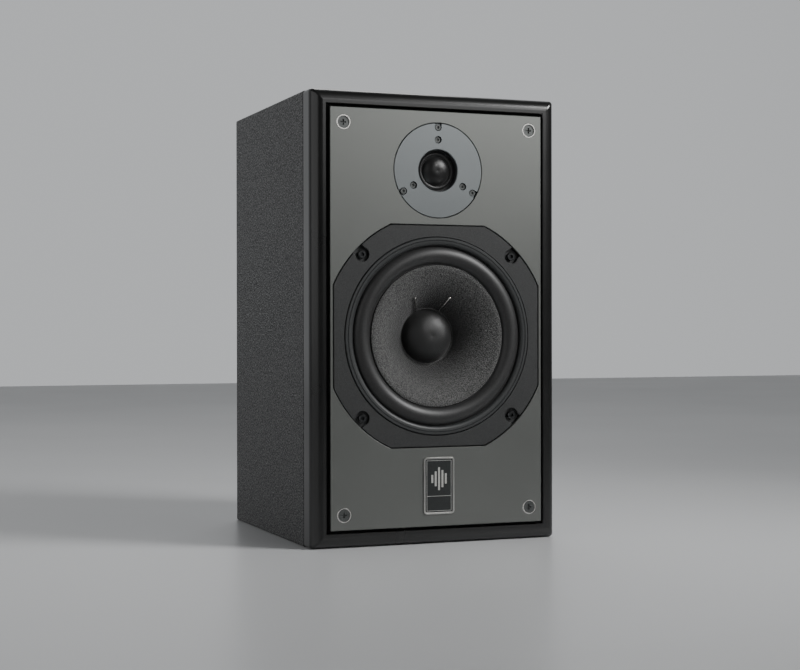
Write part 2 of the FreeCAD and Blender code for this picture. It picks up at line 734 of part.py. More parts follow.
def screw_ring(sketch, middle, circle_radius, radius, count, start):
    """Circles for screws on a circle about (0, middle)."""
    for i in range(count):
        angle = start + 360 * i / count
        circle(
            sketch,
            f"{circle_radius} * cos({angle})",
            f"({middle}) + {circle_radius} * sin({angle})",
            radius,
        )


def baffle_board():
    """Board behind the front panel that carries both drive units."""
    body = new_body("baffle_board")
    blank = new_sketch(body, out="-(panel_thick + board_groove)")
    outline(
        blank,
        rectangle(
            "(width - 2 * frame_face - 2 * board_gap)",
            "(height - 2 * frame_face - 2 * board_gap)",
            middle="height / 2",
        ),
    )
    pad(body, blank, f"({BOARD_BACK} - panel_thick - board_groove)")
    raised = new_sketch(body, out="-panel_thick")
    outline(raised, rectangle(PANEL_WIDTH, PANEL_HEIGHT, middle="height / 2"))
    pad(body, raised, "board_groove")
    seat = new_sketch(body, out="-panel_thick")
    outline(seat, flange_outline("flange_play", "woofer_z"))
    pocket(body, seat, f"({FLANGE_BACK} + gasket_thick - panel_thick)")
    small_seat = new_sketch(body, out="-panel_thick")
    circle(small_seat, "0", "tweeter_z", "(face_radius + face_play)")
    pocket(body, small_seat, "(face_thick + face_gasket - panel_thick)")
    holes = new_sketch(body, out="-panel_thick")
    circle(holes, "0", "woofer_z", "cutout_radius")
    circle(holes, "0", "tweeter_z", "(boss_radius + boss_play)")
    pocket(body, holes, "frame_depth")
    pilots = new_sketch(body, out="-panel_thick")
    for x, up in panel_screw_places():
        circle(pilots, x, up, "(panel_shank + hole_play)")
    pocket(body, pilots, "(panel_screw_length + 1)")
    big = new_sketch(body, out="-panel_thick")
    screw_ring(big, "woofer_z", "woofer_fixings", "(cap_shank + hole_play)", 4, 45)
    pocket(body, big, "frame_depth")
    small = new_sketch(body, out="-panel_thick")
    screw_ring(small, "tweeter_z", "face_fixings", "(small_shank + hole_play)", 3, 90)
    pocket(body, small, "(face_screw_length + 1)")


def front_panel():
    """Sheet-metal panel over the baffle board, with openings for both drive units."""
    body = new_body("front_panel")
    sketch = new_sketch(body)
    outline(sketch, rectangle(PANEL_WIDTH, PANEL_HEIGHT, middle="height / 2"))
    outline(sketch, flange_outline("flange_play", "woofer_z"))
    circle(sketch, "0", "tweeter_z", "(face_radius + face_play)")
    for x, up in panel_screw_places():
        circle(sketch, x, up, "(cup_radius + hole_play)")
    pad(body, sketch, "panel_thick")
    bevel = new_sketch(body)
    outline(bevel, flange_outline("flange_play + panel_bevel", "woofer_z"))
    pocket(body, bevel, "panel_bevel").TaperAngle = -45
    side, mouth = value(f"{PANEL_WIDTH} / 2"), value("face_radius + face_play")

    def bevelled(edge):
        on_rim = edge.BoundBox.XLength > 2 * side - 1 or abs(abs(edge.BoundBox.Center.x) - side) < 1e-3
        is_mouth = hasattr(edge.Curve, "Radius") and abs(edge.Curve.Radius - mouth) < 1e-3
        return at_height(edge, 0) and (on_rim or is_mouth)

    ease(body, "Chamfer", "panel_bevel", bevelled)


def repeated(label, prototype, places, rotation=FACING_FRONT, y=FRONT_PLANE):
    """One node that holds a copy of a body's solid at each of several (x, height) places."""
    doc.recompute()
    nodes.remove(prototype)
    copies = []
    for x, up in places:
        moved = prototype.Shape.copy()
        moved.Placement = FreeCAD.Placement(FreeCAD.Vector(value(x), value(up), 0), FreeCAD.Rotation())
        copies.append(moved)
    return solid_node(label, Part.makeCompound(copies), rotation, y=y)


def cross_recess(body, arm, width, top, depth):
    """A cross-shaped driver recess cut into a screw's head."""
    sketch = new_sketch(body, out=top)
    a, w = arm, f"{width} / 2"
    outline(
        sketch,
        [
            (f"-{w}", f"-{a}"), (w, f"-{a}"), (w, f"-{w}"), (a, f"-{w}"), (a, w), (w, w),
            (w, a), (f"-{w}", a), (f"-{w}", w), (f"-{a}", w), (f"-{a}", f"-{w}"), (f"-{w}", f"-{w}"),
        ],
    )
    return pocket(body, sketch, depth)


def panel_screws():
    """Countersunk screws and the cups that they sit in."""
    rim, floor = "cup_proud", "-panel_thick"
    head = "(cup_bore - hole_play)"
    cup = new_body("screw_cup")
    revolve(
        cup,
        [
            ("cup_bore", rim),
            ("cup_bore", "-panel_head_sink"),
            ("(panel_shank + hole_play)", floor),
            ("cup_radius", floor),
            ("cup_radius", f"{rim} - 0.2"),
            ("cup_radius - 0.2", rim),
        ],
    )
    repeated("front_screw_cups", cup, panel_screw_places())
    screw = new_body("panel_screw")
    revolve(
        screw,
        [
            ("0", "-panel_head_sink"),
            ("0", f"{floor} - panel_screw_length + 3"),
            ("0.4", f"{floor} - panel_screw_length + 3"),
            ("panel_shank", f"{floor} - panel_screw_length + 5"),
            ("panel_shank", floor),
            (head, "-panel_head_sink"),
        ],
    )
    cross_recess(screw, "2.6", "1.3", "-panel_head_sink", "1.8")
    repeated("front_panel_screws", screw, panel_screw_places())


def badge():
    """Small plate with a raised rim round a sunken field."""
    body = new_body("badge_plate", z="badge_z")
    sketch = new_sketch(body)
    outline(sketch, rectangle("badge_width", "badge_height", "badge_corner"))
    pad(body, sketch, "badge_thick", backwards=False)
    field = new_sketch(body, out="badge_thick")
    outline(
        field,
        rectangle(
            "(badge_width - 2 * badge_rim)",
            "(badge_height - 2 * badge_rim)",
            "(badge_corner - badge_rim)",
        ),
    )
    pocket(body, field, "badge_floor")
    top = value("badge_thick")
    ease(body, "Fillet", "0.25", lambda edge: at_height(edge, top))


# ---------------------------------------------------------------- woofer


def woofer_body(label, spin=0):
    """A body on the woofer's axis, with z forwards from the front panel's face."""
    return new_body(label, z="woofer_z", spin=spin)


def woofer_chassis():
    """Cast chassis: flange with flats and screw notches, and a basket with windows between its arms."""
    body = woofer_body("woofer_chassis")
    flange = new_sketch(body, out="-flange_sink")
    outline(flange, flange_outline())
    pad(body, flange, "flange_thick")
    seat = new_sketch(body, out="-flange_sink")
    circle(seat, "0", "0", "seat_radius")
    pocket(body, seat, "seat_depth")
    mouth = new_sketch(body, out="-flange_sink")
    circle(mouth, "0", "0", "(basket_neck - basket_wall)")
    pocket(body, mouth, "flange_thick")
    ledge, foot = "-ledge_z", "-plate_z"
    inner_neck = "(basket_neck - basket_wall)"
    revolve(
        body,
        [
            (inner_neck, f"-{FLANGE_BACK}"),
            (inner_neck, f"-{FLANGE_BACK} - 4"),
            ("(ledge_outer - 2.5)", ledge),
            ("basket_tube", ledge),
            ("basket_tube", f"{foot} + 3.5"),
            ("basket_foot", f"{foot} + 3.5"),
            ("basket_foot", foot),
            ("plate_radius", foot),
            ("plate_radius", f"{ledge} - 3.5"),
            ("ledge_outer", f"{ledge} - 3.5"),
            ("basket_neck", f"-{FLANGE_BACK} - 4.5"),
            ("basket_neck", f"-{FLANGE_BACK}"),
        ],
    )
    window = new_sketch(body, out="-flange_sink")
    sweep = "(180 / arms - arm_angle / 2)"
    near = lambda radius, side: (f"{radius} * cos({sweep})", f"{side}{radius} * sin({sweep})")
    outline(
        window,
        [
            near("window_outer", "") + ("left", "window_outer"),
            near("window_inner", ""),
            near("window_inner", "-") + ("right", "window_inner"),
            near("window_outer", "-"),
        ],
    )
    opening = pocket(body, window, "ledge_z")
    around(body, [opening], "arms")
    notch = new_sketch(body, out="-flange_sink", turn=45)
    reach, half = "(woofer_fixings + 2 * woofer_notch)", "notch_mouth"
    near_side = "(woofer_fixings + sqrt(woofer_notch^2 - notch_mouth^2))"
    outline(
        notch,
        [
            (reach, f"-{half}"),
            (reach, half),
            (near_side, half),
            ("(woofer_fixings - woofer_notch)", "0", "left", "woofer_notch"),
            (near_side, f"-{half}", "left", "woofer_notch"),
        ],
    )
    cut = pocket(body, notch, "(flange_thick - notch_floor)")
    hole = new_sketch(body, out="-flange_sink", turn=45)
    circle(hole, "woofer_fixings", "0", "(cap_shank + hole_play)")
    bore = pocket(body, hole, "flange_thick")
    around(body, [cut, bore], "4")
    tags = new_sketch(body, "XZ_Plane")
    for side in ("", "-"):
        circle(tags, f"{side}tag_x", "-tag_z", "(tag_pin + hole_play)")
    pocket(body, tags, "(tag_outer + 10)", forwards=False)
    front = -value("flange_sink")
    outer = value("seat_radius") + 1
    ease(
        body,
        "Chamfer",
        "0.4",
        lambda e: at_height(e, front) and max(abs(v.X) + abs(v.Y) for v in e.Vertexes) > outer,
    )


def woofer_fixings():
    """Gasket behind the flange and the four socket-head screws through it."""
    gasket = woofer_body("woofer_gasket")
    sketch = new_sketch(gasket, out=f"-{FLANGE_BACK}")
    outline(sketch, flange_outline("-0.5"))
    circle(sketch, "0", "0", "cutout_radius")
    screw_ring(sketch, "0", "woofer_fixings", "(cap_shank + hole_play)", 4, 45)
    pad(gasket, sketch, "gasket_thick")
    screws = woofer_body("woofer_screws", spin=45)
    seat = f"(-{FLANGE_BACK} + notch_floor)"
    shank = revolve(
        screws,
        [
            ("0", f"{seat} + cap_head_high"),
            ("0", f"{seat} - woofer_screw_length"),
            ("(cap_shank - 0.6)", f"{seat} - woofer_screw_length"),
            ("cap_shank", f"{seat} - woofer_screw_length + 0.6"),
            ("cap_shank", seat),
            ("cap_head", seat),
            ("cap_head", f"{seat} + cap_head_high - 0.4"),
            ("(cap_head - 0.4)", f"{seat} + cap_head_high"),
        ],
        across="woofer_fixings",
    )
    socket = new_sketch(screws, across="woofer_fixings", out=f"{seat} + cap_head_high")
    outline(socket, hexagon("3"))
    hollow = pocket(screws, socket, "2")
    around(screws, [shank, hollow], "4")


def trim_ring():
    """Ring that clamps the surround's outer lip, with a fine groove round its face."""
    body = woofer_body("woofer_trim_ring")
    outer = "(seat_radius - trim_play)"
    back = f"(-{SEAT_Z} + surround_thick + glue_line)"
    groove = "(seat_radius - 3.4)"
    revolve(
        body,
        [
            ("trim_inner", back),
            (outer, back),
            (outer, "trim_proud - 0.5"),
            (f"{outer} - 0.5", "trim_proud"),
            (f"{groove} + 0.4", "trim_proud"),
            (groove, "trim_proud - 0.5"),
            (f"{groove} - 0.4", "trim_proud"),
            ("trim_inner + 3", "trim_proud - 0.1"),
            ("trim_inner", "trim_proud - 2.9", "left", "3.1"),
        ],
    )


def woofer_motor():
    """Front plate, ring magnet and yoke, with the pole through the middle of the coil."""
    revolve(woofer_body("woofer_front_plate"), ring("gap_bore", "plate_radius", "-plate_z", f"-{MAGNET_Z}"))
    revolve(
        woofer_body("woofer_magnet"),
        [
            ("magnet_bore", f"-{MAGNET_Z}"),
            ("magnet_bore", f"-{BACK_PLATE_Z}"),
            ("magnet_radius - 1", f"-{BACK_PLATE_Z}"),
            ("magnet_radius", f"-{BACK_PLATE_Z} + 1"),
            ("magnet_radius", f"-{MAGNET_Z} - 1"),
            ("magnet_radius - 1", f"-{MAGNET_Z}"),
        ],
    )
    end = f"(-{BACK_PLATE_Z} - back_plate)"
    revolve(
        woofer_body("woofer_yoke"),
        [
            ("pole_vent", "-plate_z + 1"),
            ("pole_vent", f"{end} + 4"),
            ("pole_vent + 4", end, "left", "4"),
            ("plate_radius - 2", end),
            ("plate_radius", f"{end} + 2"),
            ("plate_radius", f"-{BACK_PLATE_Z}"),
            ("pole_radius", f"-{BACK_PLATE_Z}"),
            ("pole_radius", "-plate_z"),
            ("pole_radius - 1", "-plate_z + 1"),
        ],
    )


def woofer_coil():
    """Former with the winding round its end, centred in the magnet's gap."""
    end = f"(-{COIL_MIDDLE} - coil_high / 2)"
    revolve(
        woofer_body("woofer_coil_former"),
        ring("former_radius", COIL_RADIUS, "-dust_z - 0.6", end),
    )
    top = f"(-{COIL_MIDDLE} + coil_high / 2)"
    outer = f"({COIL_RADIUS} + coil_thick)"
    revolve(woofer_body("woofer_coil"), ring(COIL_RADIUS, outer, top, end))


def woofer_cone():
    """Doped cone: steep at its neck, curved flank, and a flat rim that the surround is glued under."""
    inner = f"({COIL_RADIUS} + glue_line)"
    rim = "(cone_radius - cone_rim)"
    revolve(
        woofer_body("woofer_cone"),
        [
            (inner, "-neck_z"),
            (f"{inner} + 0.8", "-neck_z - 0.6"),
            ("(dust_radius + cone_thick * 0.7)", "-dust_z - cone_thick * 0.7"),
            (f"{rim} + 0.3", "-cone_z - cone_thick", "right", "(cone_curve - cone_thick)"),
            ("cone_radius", "-cone_z - cone_thick"),
            ("cone_radius", "-cone_z"),
            (rim, "-cone_z"),
            ("dust_radius", "-dust_z", "left", "cone_curve"),
            (inner, "-neck_z + 1.4"),
        ],
    )


def dust_cap():
    """Domed cap over the coil, glued to the cone."""
    crown = "((dust_radius^2 + dust_high^2) / (2 * dust_high))"
    inner, rise = "(dust_radius - dust_thick)", "(dust_high - dust_thick)"
    hollow = f"(({inner}^2 + {rise}^2) / (2 * {rise}))"
    foot = "(-dust_z + glue_line)"
    revolve(
        woofer_body("woofer_dust_cap"),
        [
            ("0", f"{foot} + {rise}", "left", hollow),
            ("0", f"{foot} + dust_high"),
            ("dust_radius", foot, "right", crown),
            (inner, foot),
        ],
    )


def woofer_surround():
    """Half-roll rubber surround between the cone's rim and the chassis."""
    low = f"-{SEAT_Z}"
    high = f"({low} + surround_thick)"
    lip = "(-cone_z - cone_thick - glue_line)"
    half = "((roll_outer - roll_inner) / 2)"
    curve = f"(({half}^2 + roll_high^2) / (2 * roll_high))"
    middle = "((roll_inner + roll_outer) / 2)"
    crown = f"({low} + roll_high)"
    crown_curve = f"(({half} - surround_thick)^2 + (roll_high - surround_thick)^2)"
    under = f"({crown_curve} / (2 * (roll_high - surround_thick)))"
    revolve(
        woofer_body("woofer_surround"),
        [
            ("(roll_inner - surround_lip)", lip),
            ("(roll_inner - surround_lip)", f"{lip} - surround_thick"),
            ("(roll_inner + surround_thick)", low),
            (middle, f"{crown} - surround_thick", "right", under),
            ("(roll_outer - surround_thick)", low, "right", under),
            ("(seat_radius - trim_play)", low),
            ("(seat_radius - trim_play)", high),
            ("roll_outer", high),
            (middle, crown, "left", curve),
            ("roll_inner", lip, "left", curve),
        ],
    )


def woofer_spider():
    """Corrugated cloth disc that centres the coil."""
    middle = "(-ledge_z + spider_thick)"
    wave = "((spider_rim - spider_hub) / spider_waves)"
    bend = f"(({wave}^2 / 4 + spider_rise^2) / (2 * spider_rise))"
    count = int(value("spider_waves"))
    hub = f"({COIL_RADIUS} + glue_line)"
    top = [(hub, middle), ("spider_hub", middle)]
    for i in range(count):
        top.append((f"spider_hub + {wave} * {i + 1}", middle, ("right", "left")[i % 2], bend))
    top.append(("spider_radius", middle))
    lower = "-ledge_z"
    under = [("spider_radius", lower), ("spider_rim", lower)]
    for i in reversed(range(count)):
        under.append((f"spider_hub + {wave} * {i}", lower, ("left", "right")[i % 2], bend))
    under.append((hub, lower))
    revolve(woofer_body("woofer_spider"), top + under)


def cone_flank():
    """Middle, as (radius, height), and radius of the arc that the cone's front surface follows."""
    inner = FreeCAD.Vector(value("dust_radius"), -value("dust_z"), 0)
    outer = FreeCAD.Vector(value("cone_radius - cone_rim"), -value("cone_z"), 0)
    curve = value("cone_curve")
    chord = outer - inner
    away = math.sqrt(curve**2 - chord.Length**2 / 4)
    across = FreeCAD.Vector(chord.y, -chord.x, 0).normalize()
    return (inner + outer) * 0.5 + across * away, curve


def on_cone(radius, angle, lift):
    """A point lifted off the cone's front surface, and the way out of the surface there."""
    centre, curve = cone_flank()
    lean = math.asin((centre.x - radius) / curve)
    away = radius - lift * math.sin(lean)
    height = centre.y + (curve + lift) * math.cos(lean)
    outwards = (-math.sin(lean), math.cos(lean))
    turned = lambda r, z: FreeCAD.Vector(r * math.sin(angle), r * math.cos(angle), z)
    return turned(away, height), turned(*outwards)


def coil_leads():
    """Eyelets through the cone and the coil's lead wires from them to the dust cap."""
    thin, eyelet = value("lead_radius"), value("eyelet_radius")
    outer = math.hypot(value("eyelet_x"), value("eyelet_y"))
    inner = value("dust_radius") + 2 * thin
    solids = []
    for side in (-1, 1):
        angle = math.atan2(value("eyelet_x"), value("eyelet_y")) * side
        base, out = on_cone(outer, angle, 0.03)
        head = Part.makeCylinder(eyelet, 1.1, base, out)
        bead = Part.makeSphere(eyelet * 0.8, base + out * 1.1)
        stops = [inner + (outer - inner) * share / 4 for share in range(5)]
        path = [on_cone(stop, angle, thin + 0.25)[0] for stop in stops]
        edges = [Part.LineSegment(a, b).toShape() for a, b in zip(path, path[1:])]
        section = Part.Wire([Part.Circle(path[0], path[1] - path[0], thin).toShape()])
        wire = Part.Wire(edges).makePipeShell([section], True, True, 1)
        solids.append(head.fuse([bead, wire]).removeSplitter())
    solid_node("coil_leads", Part.makeCompound(solids), FACING_FRONT, y=FRONT_PLANE, z="woofer_z")


def woofer_tags():
    """Two tags through the top arm of the basket, with a blade outside it."""
    level, inner, outer = -value("tag_z"), value("tag_inner"), value("tag_outer")
    pin = value("tag_pin")
    solids = []
    for side in (-1, 1):
        x = side * value("tag_x")
        barrel = rod(pin, (x, inner, level), (x, outer, level))
        blade = Part.makeBox(0.8, 9, 4.8, FreeCAD.Vector(x - 0.4, outer - 2, level - 2.4))
        solids.append(barrel.fuse(blade).removeSplitter())
    solid_node("woofer_tags", Part.makeCompound(solids), FACING_FRONT, y=FRONT_PLANE, z="woofer_z")


def tinsel_leads():
    """Flexible leads from the cone's eyelets to the tags, behind the cone."""
    level, inner = -value("tag_z"), value("tag_inner")
    start_radius = math.hypot(value("eyelet_x"), value("eyelet_y"))
    solids = []
    for side in (-1, 1):
        x, y = side * value("eyelet_x"), value("eyelet_y")
        start = on_cone(start_radius, 0, 0)[0].z - value("cone_thick") * 1.35 - 0.55
        tag = side * value("tag_x")
        points = [
            (x, y, start),
            (x * 0.98, y + 2, start - 9),
            ((x + tag) / 2, (y + inner) / 2 + 1, level - 3.5),
            (tag, inner - 9, level),
            (tag, inner, level),
        ]
        solids.append(tube_along(points, 0.6))
    label = "woofer_tinsel_leads"
    solid_node(label, Part.makeCompound(solids), FACING_FRONT, y=FRONT_PLANE, z="woofer_z")


# ---------------------------------------------------------------- tweeter


def tweeter_body(label, spin=0):
    """A body on the tweeter's axis, with z forwards from the front panel's face."""
    return new_body(label, z="tweeter_z", spin=spin)


def tweeter_faceplate():
    """Face plate with a round mouth, three screw pockets and three notches in its rim."""
    body = tweeter_body("tweeter_faceplate", spin=90)
    lip = "(ripple_lip + 0.3)"
    lip_z = "-(motor_z - ripple_thick - glue_line)"
    revolve(
        body,
        [
            ("(mouth_radius + mouth_bevel)", "0"),
            ("mouth_radius", "-mouth_bevel"),
            ("mouth_radius", lip_z),
            (lip, lip_z),
            (lip, "-motor_z"),
            ("boss_radius", "-motor_z"),
            ("boss_radius", "-face_thick"),
            ("face_radius", "-face_thick"),
            ("face_radius", "-0.3"),
            ("face_radius - 0.3", "0"),
        ],
    )
    well = new_sketch(body)
    circle(well, "motor_fixings", "0", "motor_pocket")
    pocket_cut = pocket(body, well, "motor_pocket_deep")
    drill = new_sketch(body)
    circle(drill, "motor_fixings", "0", "(small_shank + hole_play)")
    circle(drill, "face_fixings", "0", "(small_shank + hole_play)")
    bores = pocket(body, drill, "motor_z")
    notch = new_sketch(body)
    reach = "(face_radius + 2)"
    outline(
        notch,
        [
            (reach, "-face_notch"),
            (reach, "face_notch"),
            ("face_fixings", "face_notch"),
            ("face_fixings - face_notch", "0", "left", "face_notch"),
            ("face_fixings", "-face_notch", "left", "face_notch"),
        ],
    )
    notch_cut = pocket(body, notch, "face_notch_deep")
    around(body, [pocket_cut, bores, notch_cut], "3")


def small_screws(label, at_radius, seat, length):
    """Three socket-head screws on a circle about the tweeter's axis."""
    body = tweeter_body(label, spin=90)
    head_top = f"({seat} + small_head_high)"
    shank = revolve(
        body,
        [
            ("0", head_top),
            ("0", f"{seat} - {length}"),
            ("(small_shank - 0.4)", f"{seat} - {length}"),
            ("small_shank", f"{seat} - {length} + 0.4"),
            ("small_shank", seat),
            ("small_head", seat),
            ("small_head", f"{head_top} - 0.3"),
            ("(small_head - 0.3)", head_top),
        ],
        across=at_radius,
    )
    socket = new_sketch(body, across=at_radius, out=head_top)
    outline(socket, hexagon("2.5"))
    hollow = pocket(body, socket, "1.3")
    around(body, [shank, hollow], "3")


def tweeter_screws():
    """Screws that hold the motor to the face plate, and the face plate to the board."""
    small_screws("tweeter_motor_screws", "motor_fixings", "(-motor_pocket_deep)", "motor_screw_length")
    small_screws("tweeter_fixing_screws", "face_fixings", "(-face_notch_deep)", "face_screw_length")


def tweeter_gasket():
    """Foam ring under the face plate's rim."""
    body = tweeter_body("tweeter_gasket")
    sketch = new_sketch(body, out="-face_thick")
    circle(sketch, "0", "0", "face_radius")
    circle(sketch, "0", "0", "(boss_radius + boss_play)")
    screw_ring(sketch, "0", "face_fixings", "(small_shank + hole_play)", 3, 90)
    pad(body, sketch, "face_gasket")


def tweeter_moving_parts():
    """Dome, former and winding, and the soft ripple that carries them."""
    crown = "((dome_radius^2 + dome_high^2) / (2 * dome_high))"
    inner, rise = "(dome_radius - dome_thick)", "(dome_high - dome_thick)"
    hollow = f"(({inner}^2 + {rise}^2) / (2 * {rise}))"
    foot = "-dome_z"
    revolve(
        tweeter_body("tweeter_dome"),
        [
            ("0", f"{foot} + {rise}", "left", hollow),
            ("0", f"{foot} + dome_high"),
            ("dome_radius", foot, "right", crown),
            (inner, foot),
        ],
    )
    start = "(-dome_z - glue_line)"
    end = "-small_former_end"
    revolve(
        tweeter_body("tweeter_former"),
        ring("small_former", SMALL_COIL_RADIUS, start, end),
    )
    outer = f"({SMALL_COIL_RADIUS} + small_coil_thick)"
    middle = "(motor_z + small_plate / 2)"
    revolve(
        tweeter_body("tweeter_coil"),
        ring(
            SMALL_COIL_RADIUS,
            outer,
            f"(-{middle} + small_coil_high / 2)",
            f"(-{middle} - small_coil_high / 2)",
        ),
    )
    low = "-motor_z"
    high = "(-motor_z + ripple_thick)"
    inner = "(dome_radius + glue_line)"
    half = f"((ripple_outer - {inner}) / 2)"
    curve = f"(({half}^2 + ripple_high^2) / (2 * ripple_high))"
    under_high = "(ripple_high - ripple_thick)"
    under_half = f"({half} - ripple_thick)"
    under = f"(({under_half}^2 + {under_high}^2) / (2 * {under_high}))"
    centre = f"((ripple_outer + {inner}) / 2)"
    revolve(
        tweeter_body("tweeter_surround"),
        [
            (inner, low),
            (f"{inner} + ripple_thick", low),
            (centre, f"{low} + {under_high}", "right", under),
            ("ripple_outer - ripple_thick", low, "right", under),
            ("ripple_lip", low),
            ("ripple_lip", high),
            ("ripple_outer", high),
            (centre, f"{high} + {under_high}", "left", curve),
            (inner, high, "left", curve),
        ],
    )


def tweeter_motor():
    """Front plate tapped for the motor screws, ring magnet, and yoke with its pole."""
    plate = tweeter_body("tweeter_front_plate", spin=90)
    revolve(plate, ring("small_gap_bore", "small_plate_radius", "-motor_z", f"-{SMALL_MAGNET_Z}"))
    sketch = new_sketch(plate, out="-motor_z")
    circle(sketch, "motor_fixings", "0", "(small_shank + hole_play)")
    tapped = pocket(plate, sketch, "small_plate")
    around(plate, [tapped], "3")
    revolve(
        tweeter_body("tweeter_magnet"),
        ring("small_magnet_bore", "small_magnet", f"-{SMALL_MAGNET_Z}", f"-{SMALL_BACK_Z}"),
    )
    end = f"(-{SMALL_BACK_Z} - small_back_plate)"
    tip = "(-motor_z - small_pole_sink)"
    revolve(
        tweeter_body("tweeter_yoke"),
        [
            ("small_vent", tip),
            ("small_vent", end),
            ("small_plate_radius - 1", end),
            ("small_plate_radius", f"{end} + 1"),
            ("small_plate_radius", f"-{SMALL_BACK_Z}"),
            ("small_pole", f"-{SMALL_BACK_Z}"),
            ("small_pole", f"{tip} - 0.6"),
            ("small_pole - 0.6", tip),
        ],
    )


def tweeter_tags():
    """Insulating strip on the back of the motor with a tag at each end."""
    back = -value(f"{SMALL_BACK_Z} + small_back_plate")
    thick, long = value("strip_thick"), value("strip_tag_long")
    low = value("small_vent") + 4
    strip = box(0, -low - value("strip_high") / 2, back - thick, value("strip_wide"), value("strip_high"), thick)
    for side in (-1, 1):
        x = side * value("strip_tag_x")
        tag = box(x, -low - value("strip_high") / 2, back - thick - long, 4.8, 0.8, long)
        strip = strip.fuse(tag)
    label = "tweeter_tags"
    solid_node(label, strip.removeSplitter(), FACING_FRONT, y=FRONT_PLANE, z="tweeter_z")


# ---------------------------------------------------------------- terminals


def rear_body(label, x="0"):
    """A body on the terminal plate, with z backwards from the rear panel's face."""
    return new_body(label, FACING_REAR, x=x, y=REAR_PLANE, z="terminal_z")


def terminal_plate():
    """Plate let into the rear panel, and the screws at its corners."""
    body = rear_body("terminal_plate")
    sketch = new_sketch(body)
    outline(sketch, rectangle("terminal_width", "terminal_height", "terminal_corner"))
    for side in ("", "-"):
        circle(sketch, f"{side}post_spacing / 2", "0", "(sleeve_radius + hole_play)")
        for level in ("", "-"):
            circle(
                sketch,
                f"{side}(terminal_width / 2 - terminal_inset)",
                f"{level}(terminal_height / 2 - terminal_inset)",
                "(pan_shank + hole_play)",
            )
    pad(body, sketch, "terminal_thick")
    ease(body, "Chamfer", "0.4", lambda e: at_height(e, 0) and e.BoundBox.DiagonalLength > 12)
    screw = rear_body("terminal_screw")
    revolve(
        screw,
        [
            ("0", "pan_head_high"),
            ("0", "-pan_length"),
            ("0.4", "-pan_length"),
            ("pan_shank", "-pan_length + 2.5"),
            ("pan_shank", "0"),
            ("pan_head", "0"),
            ("pan_head", "pan_head_high * 0.4"),
            ("1.6", "pan_head_high", "left", "3.4"),
        ],
    )
    cross_recess(screw, "1.9", "0.9", "pan_head_high", "1.4")
    x = "(terminal_width / 2 - terminal_inset)"
    up = "(terminal_height / 2 - terminal_inset)"
    places = [(f"{s}{x}", f"{t}{up}") for s in ("", "-") for t in ("", "-")]
    screws = repeated("terminal_plate_screws", screw, places, FACING_REAR, REAR_PLANE)
    bind(screws, "Placement.Base.z", "terminal_z")


def binding_posts():
    """Fixed parts of both posts: insulators, threaded stems, nuts and solder tags."""
    places = [("post_spacing / 2", "0"), ("-post_spacing / 2", "0")]
    bore = "(stem_radius + stem_play)"
    inside = "-terminal_thick"
    collar = rear_body("post_collar")
    revolve(
        collar,
        [
            (bore, "collar_high"),
            (bore, inside),
            ("sleeve_radius", inside),
            ("sleeve_radius", "0"),
            ("collar_radius", "0"),
            ("collar_radius", "collar_high - 0.8"),
            ("collar_radius - 0.8", "collar_high"),
        ],
    )
    washer = rear_body("post_inner_washer")
    revolve(washer, ring(bore, "collar_radius", inside, f"{inside} - inner_washer"))
    stem = rear_body("post_stem")
    revolve(
        stem,
        [
            ("0", "stem_out - socket_deep"),
            ("0", "-stem_in"),
            ("stem_radius - 0.6", "-stem_in"),
            ("stem_radius", "-stem_in + 0.6"),
            ("stem_radius", "stem_out - 0.4"),
            ("stem_radius - 0.4", "stem_out"),
            ("socket_radius + 0.3", "stem_out"),
            ("socket_radius", "stem_out - 0.3"),
            ("socket_radius", "stem_out - socket_deep"),
        ],
    )
    hole = new_sketch(stem, "XZ_Plane", out="-stem_radius - 1")
    circle(hole, "0", "wire_hole_z", "wire_hole")
    pocket(stem, hole, "(2 * stem_radius + 2)", forwards=True)
    nut = rear_body("post_nut")
    sketch = new_sketch(nut, out=f"{inside} - inner_washer")
    outline(sketch, hexagon("nut_across"))
    circle(sketch, "0", "0", bore)
    pad(nut, sketch, "nut_thick")
    tag = rear_body("solder_tag")
    sketch = new_sketch(tag, out=f"{inside} - inner_washer - nut_thick")
    rim, half = "(stem_radius + 2.4)", "(solder_tag_wide / 2)"
    side = f"-sqrt({rim}^2 - {half}^2)"
    outline(
        sketch,
        [
            (half, side),
            ("0", rim, "left", rim),
            (f"-{half}", side, "left", rim),
            (f"-{half}", "-solder_tag_long"),
            (half, "-solder_tag_long"),
        ],
    )
    circle(sketch, "0", "0", bore)
    pad(tag, sketch, "tag_thick")
    doc.recompute()
    insulators = []
    for prototype in (collar, washer):
        nodes.remove(prototype)
        insulators.append(prototype)
    shapes = []
    for x, up in places:
        for prototype in insulators:
            moved = prototype.Shape.copy()
            moved.Placement = FreeCAD.Placement(FreeCAD.Vector(value(x), 0, 0), FreeCAD.Rotation())
            shapes.append(moved)
    groups = [solid_node("post_insulators", Part.makeCompound(shapes), FACING_REAR, y=REAR_PLANE)]
    for label, prototype in (("post_stems", stem), ("post_nuts", nut), ("post_solder_tags", tag)):
        groups.append(repeated(label, prototype, places, FACING_REAR, REAR_PLANE))
    for group in groups:
        bind(group, "Placement.Base.z", "terminal_z")


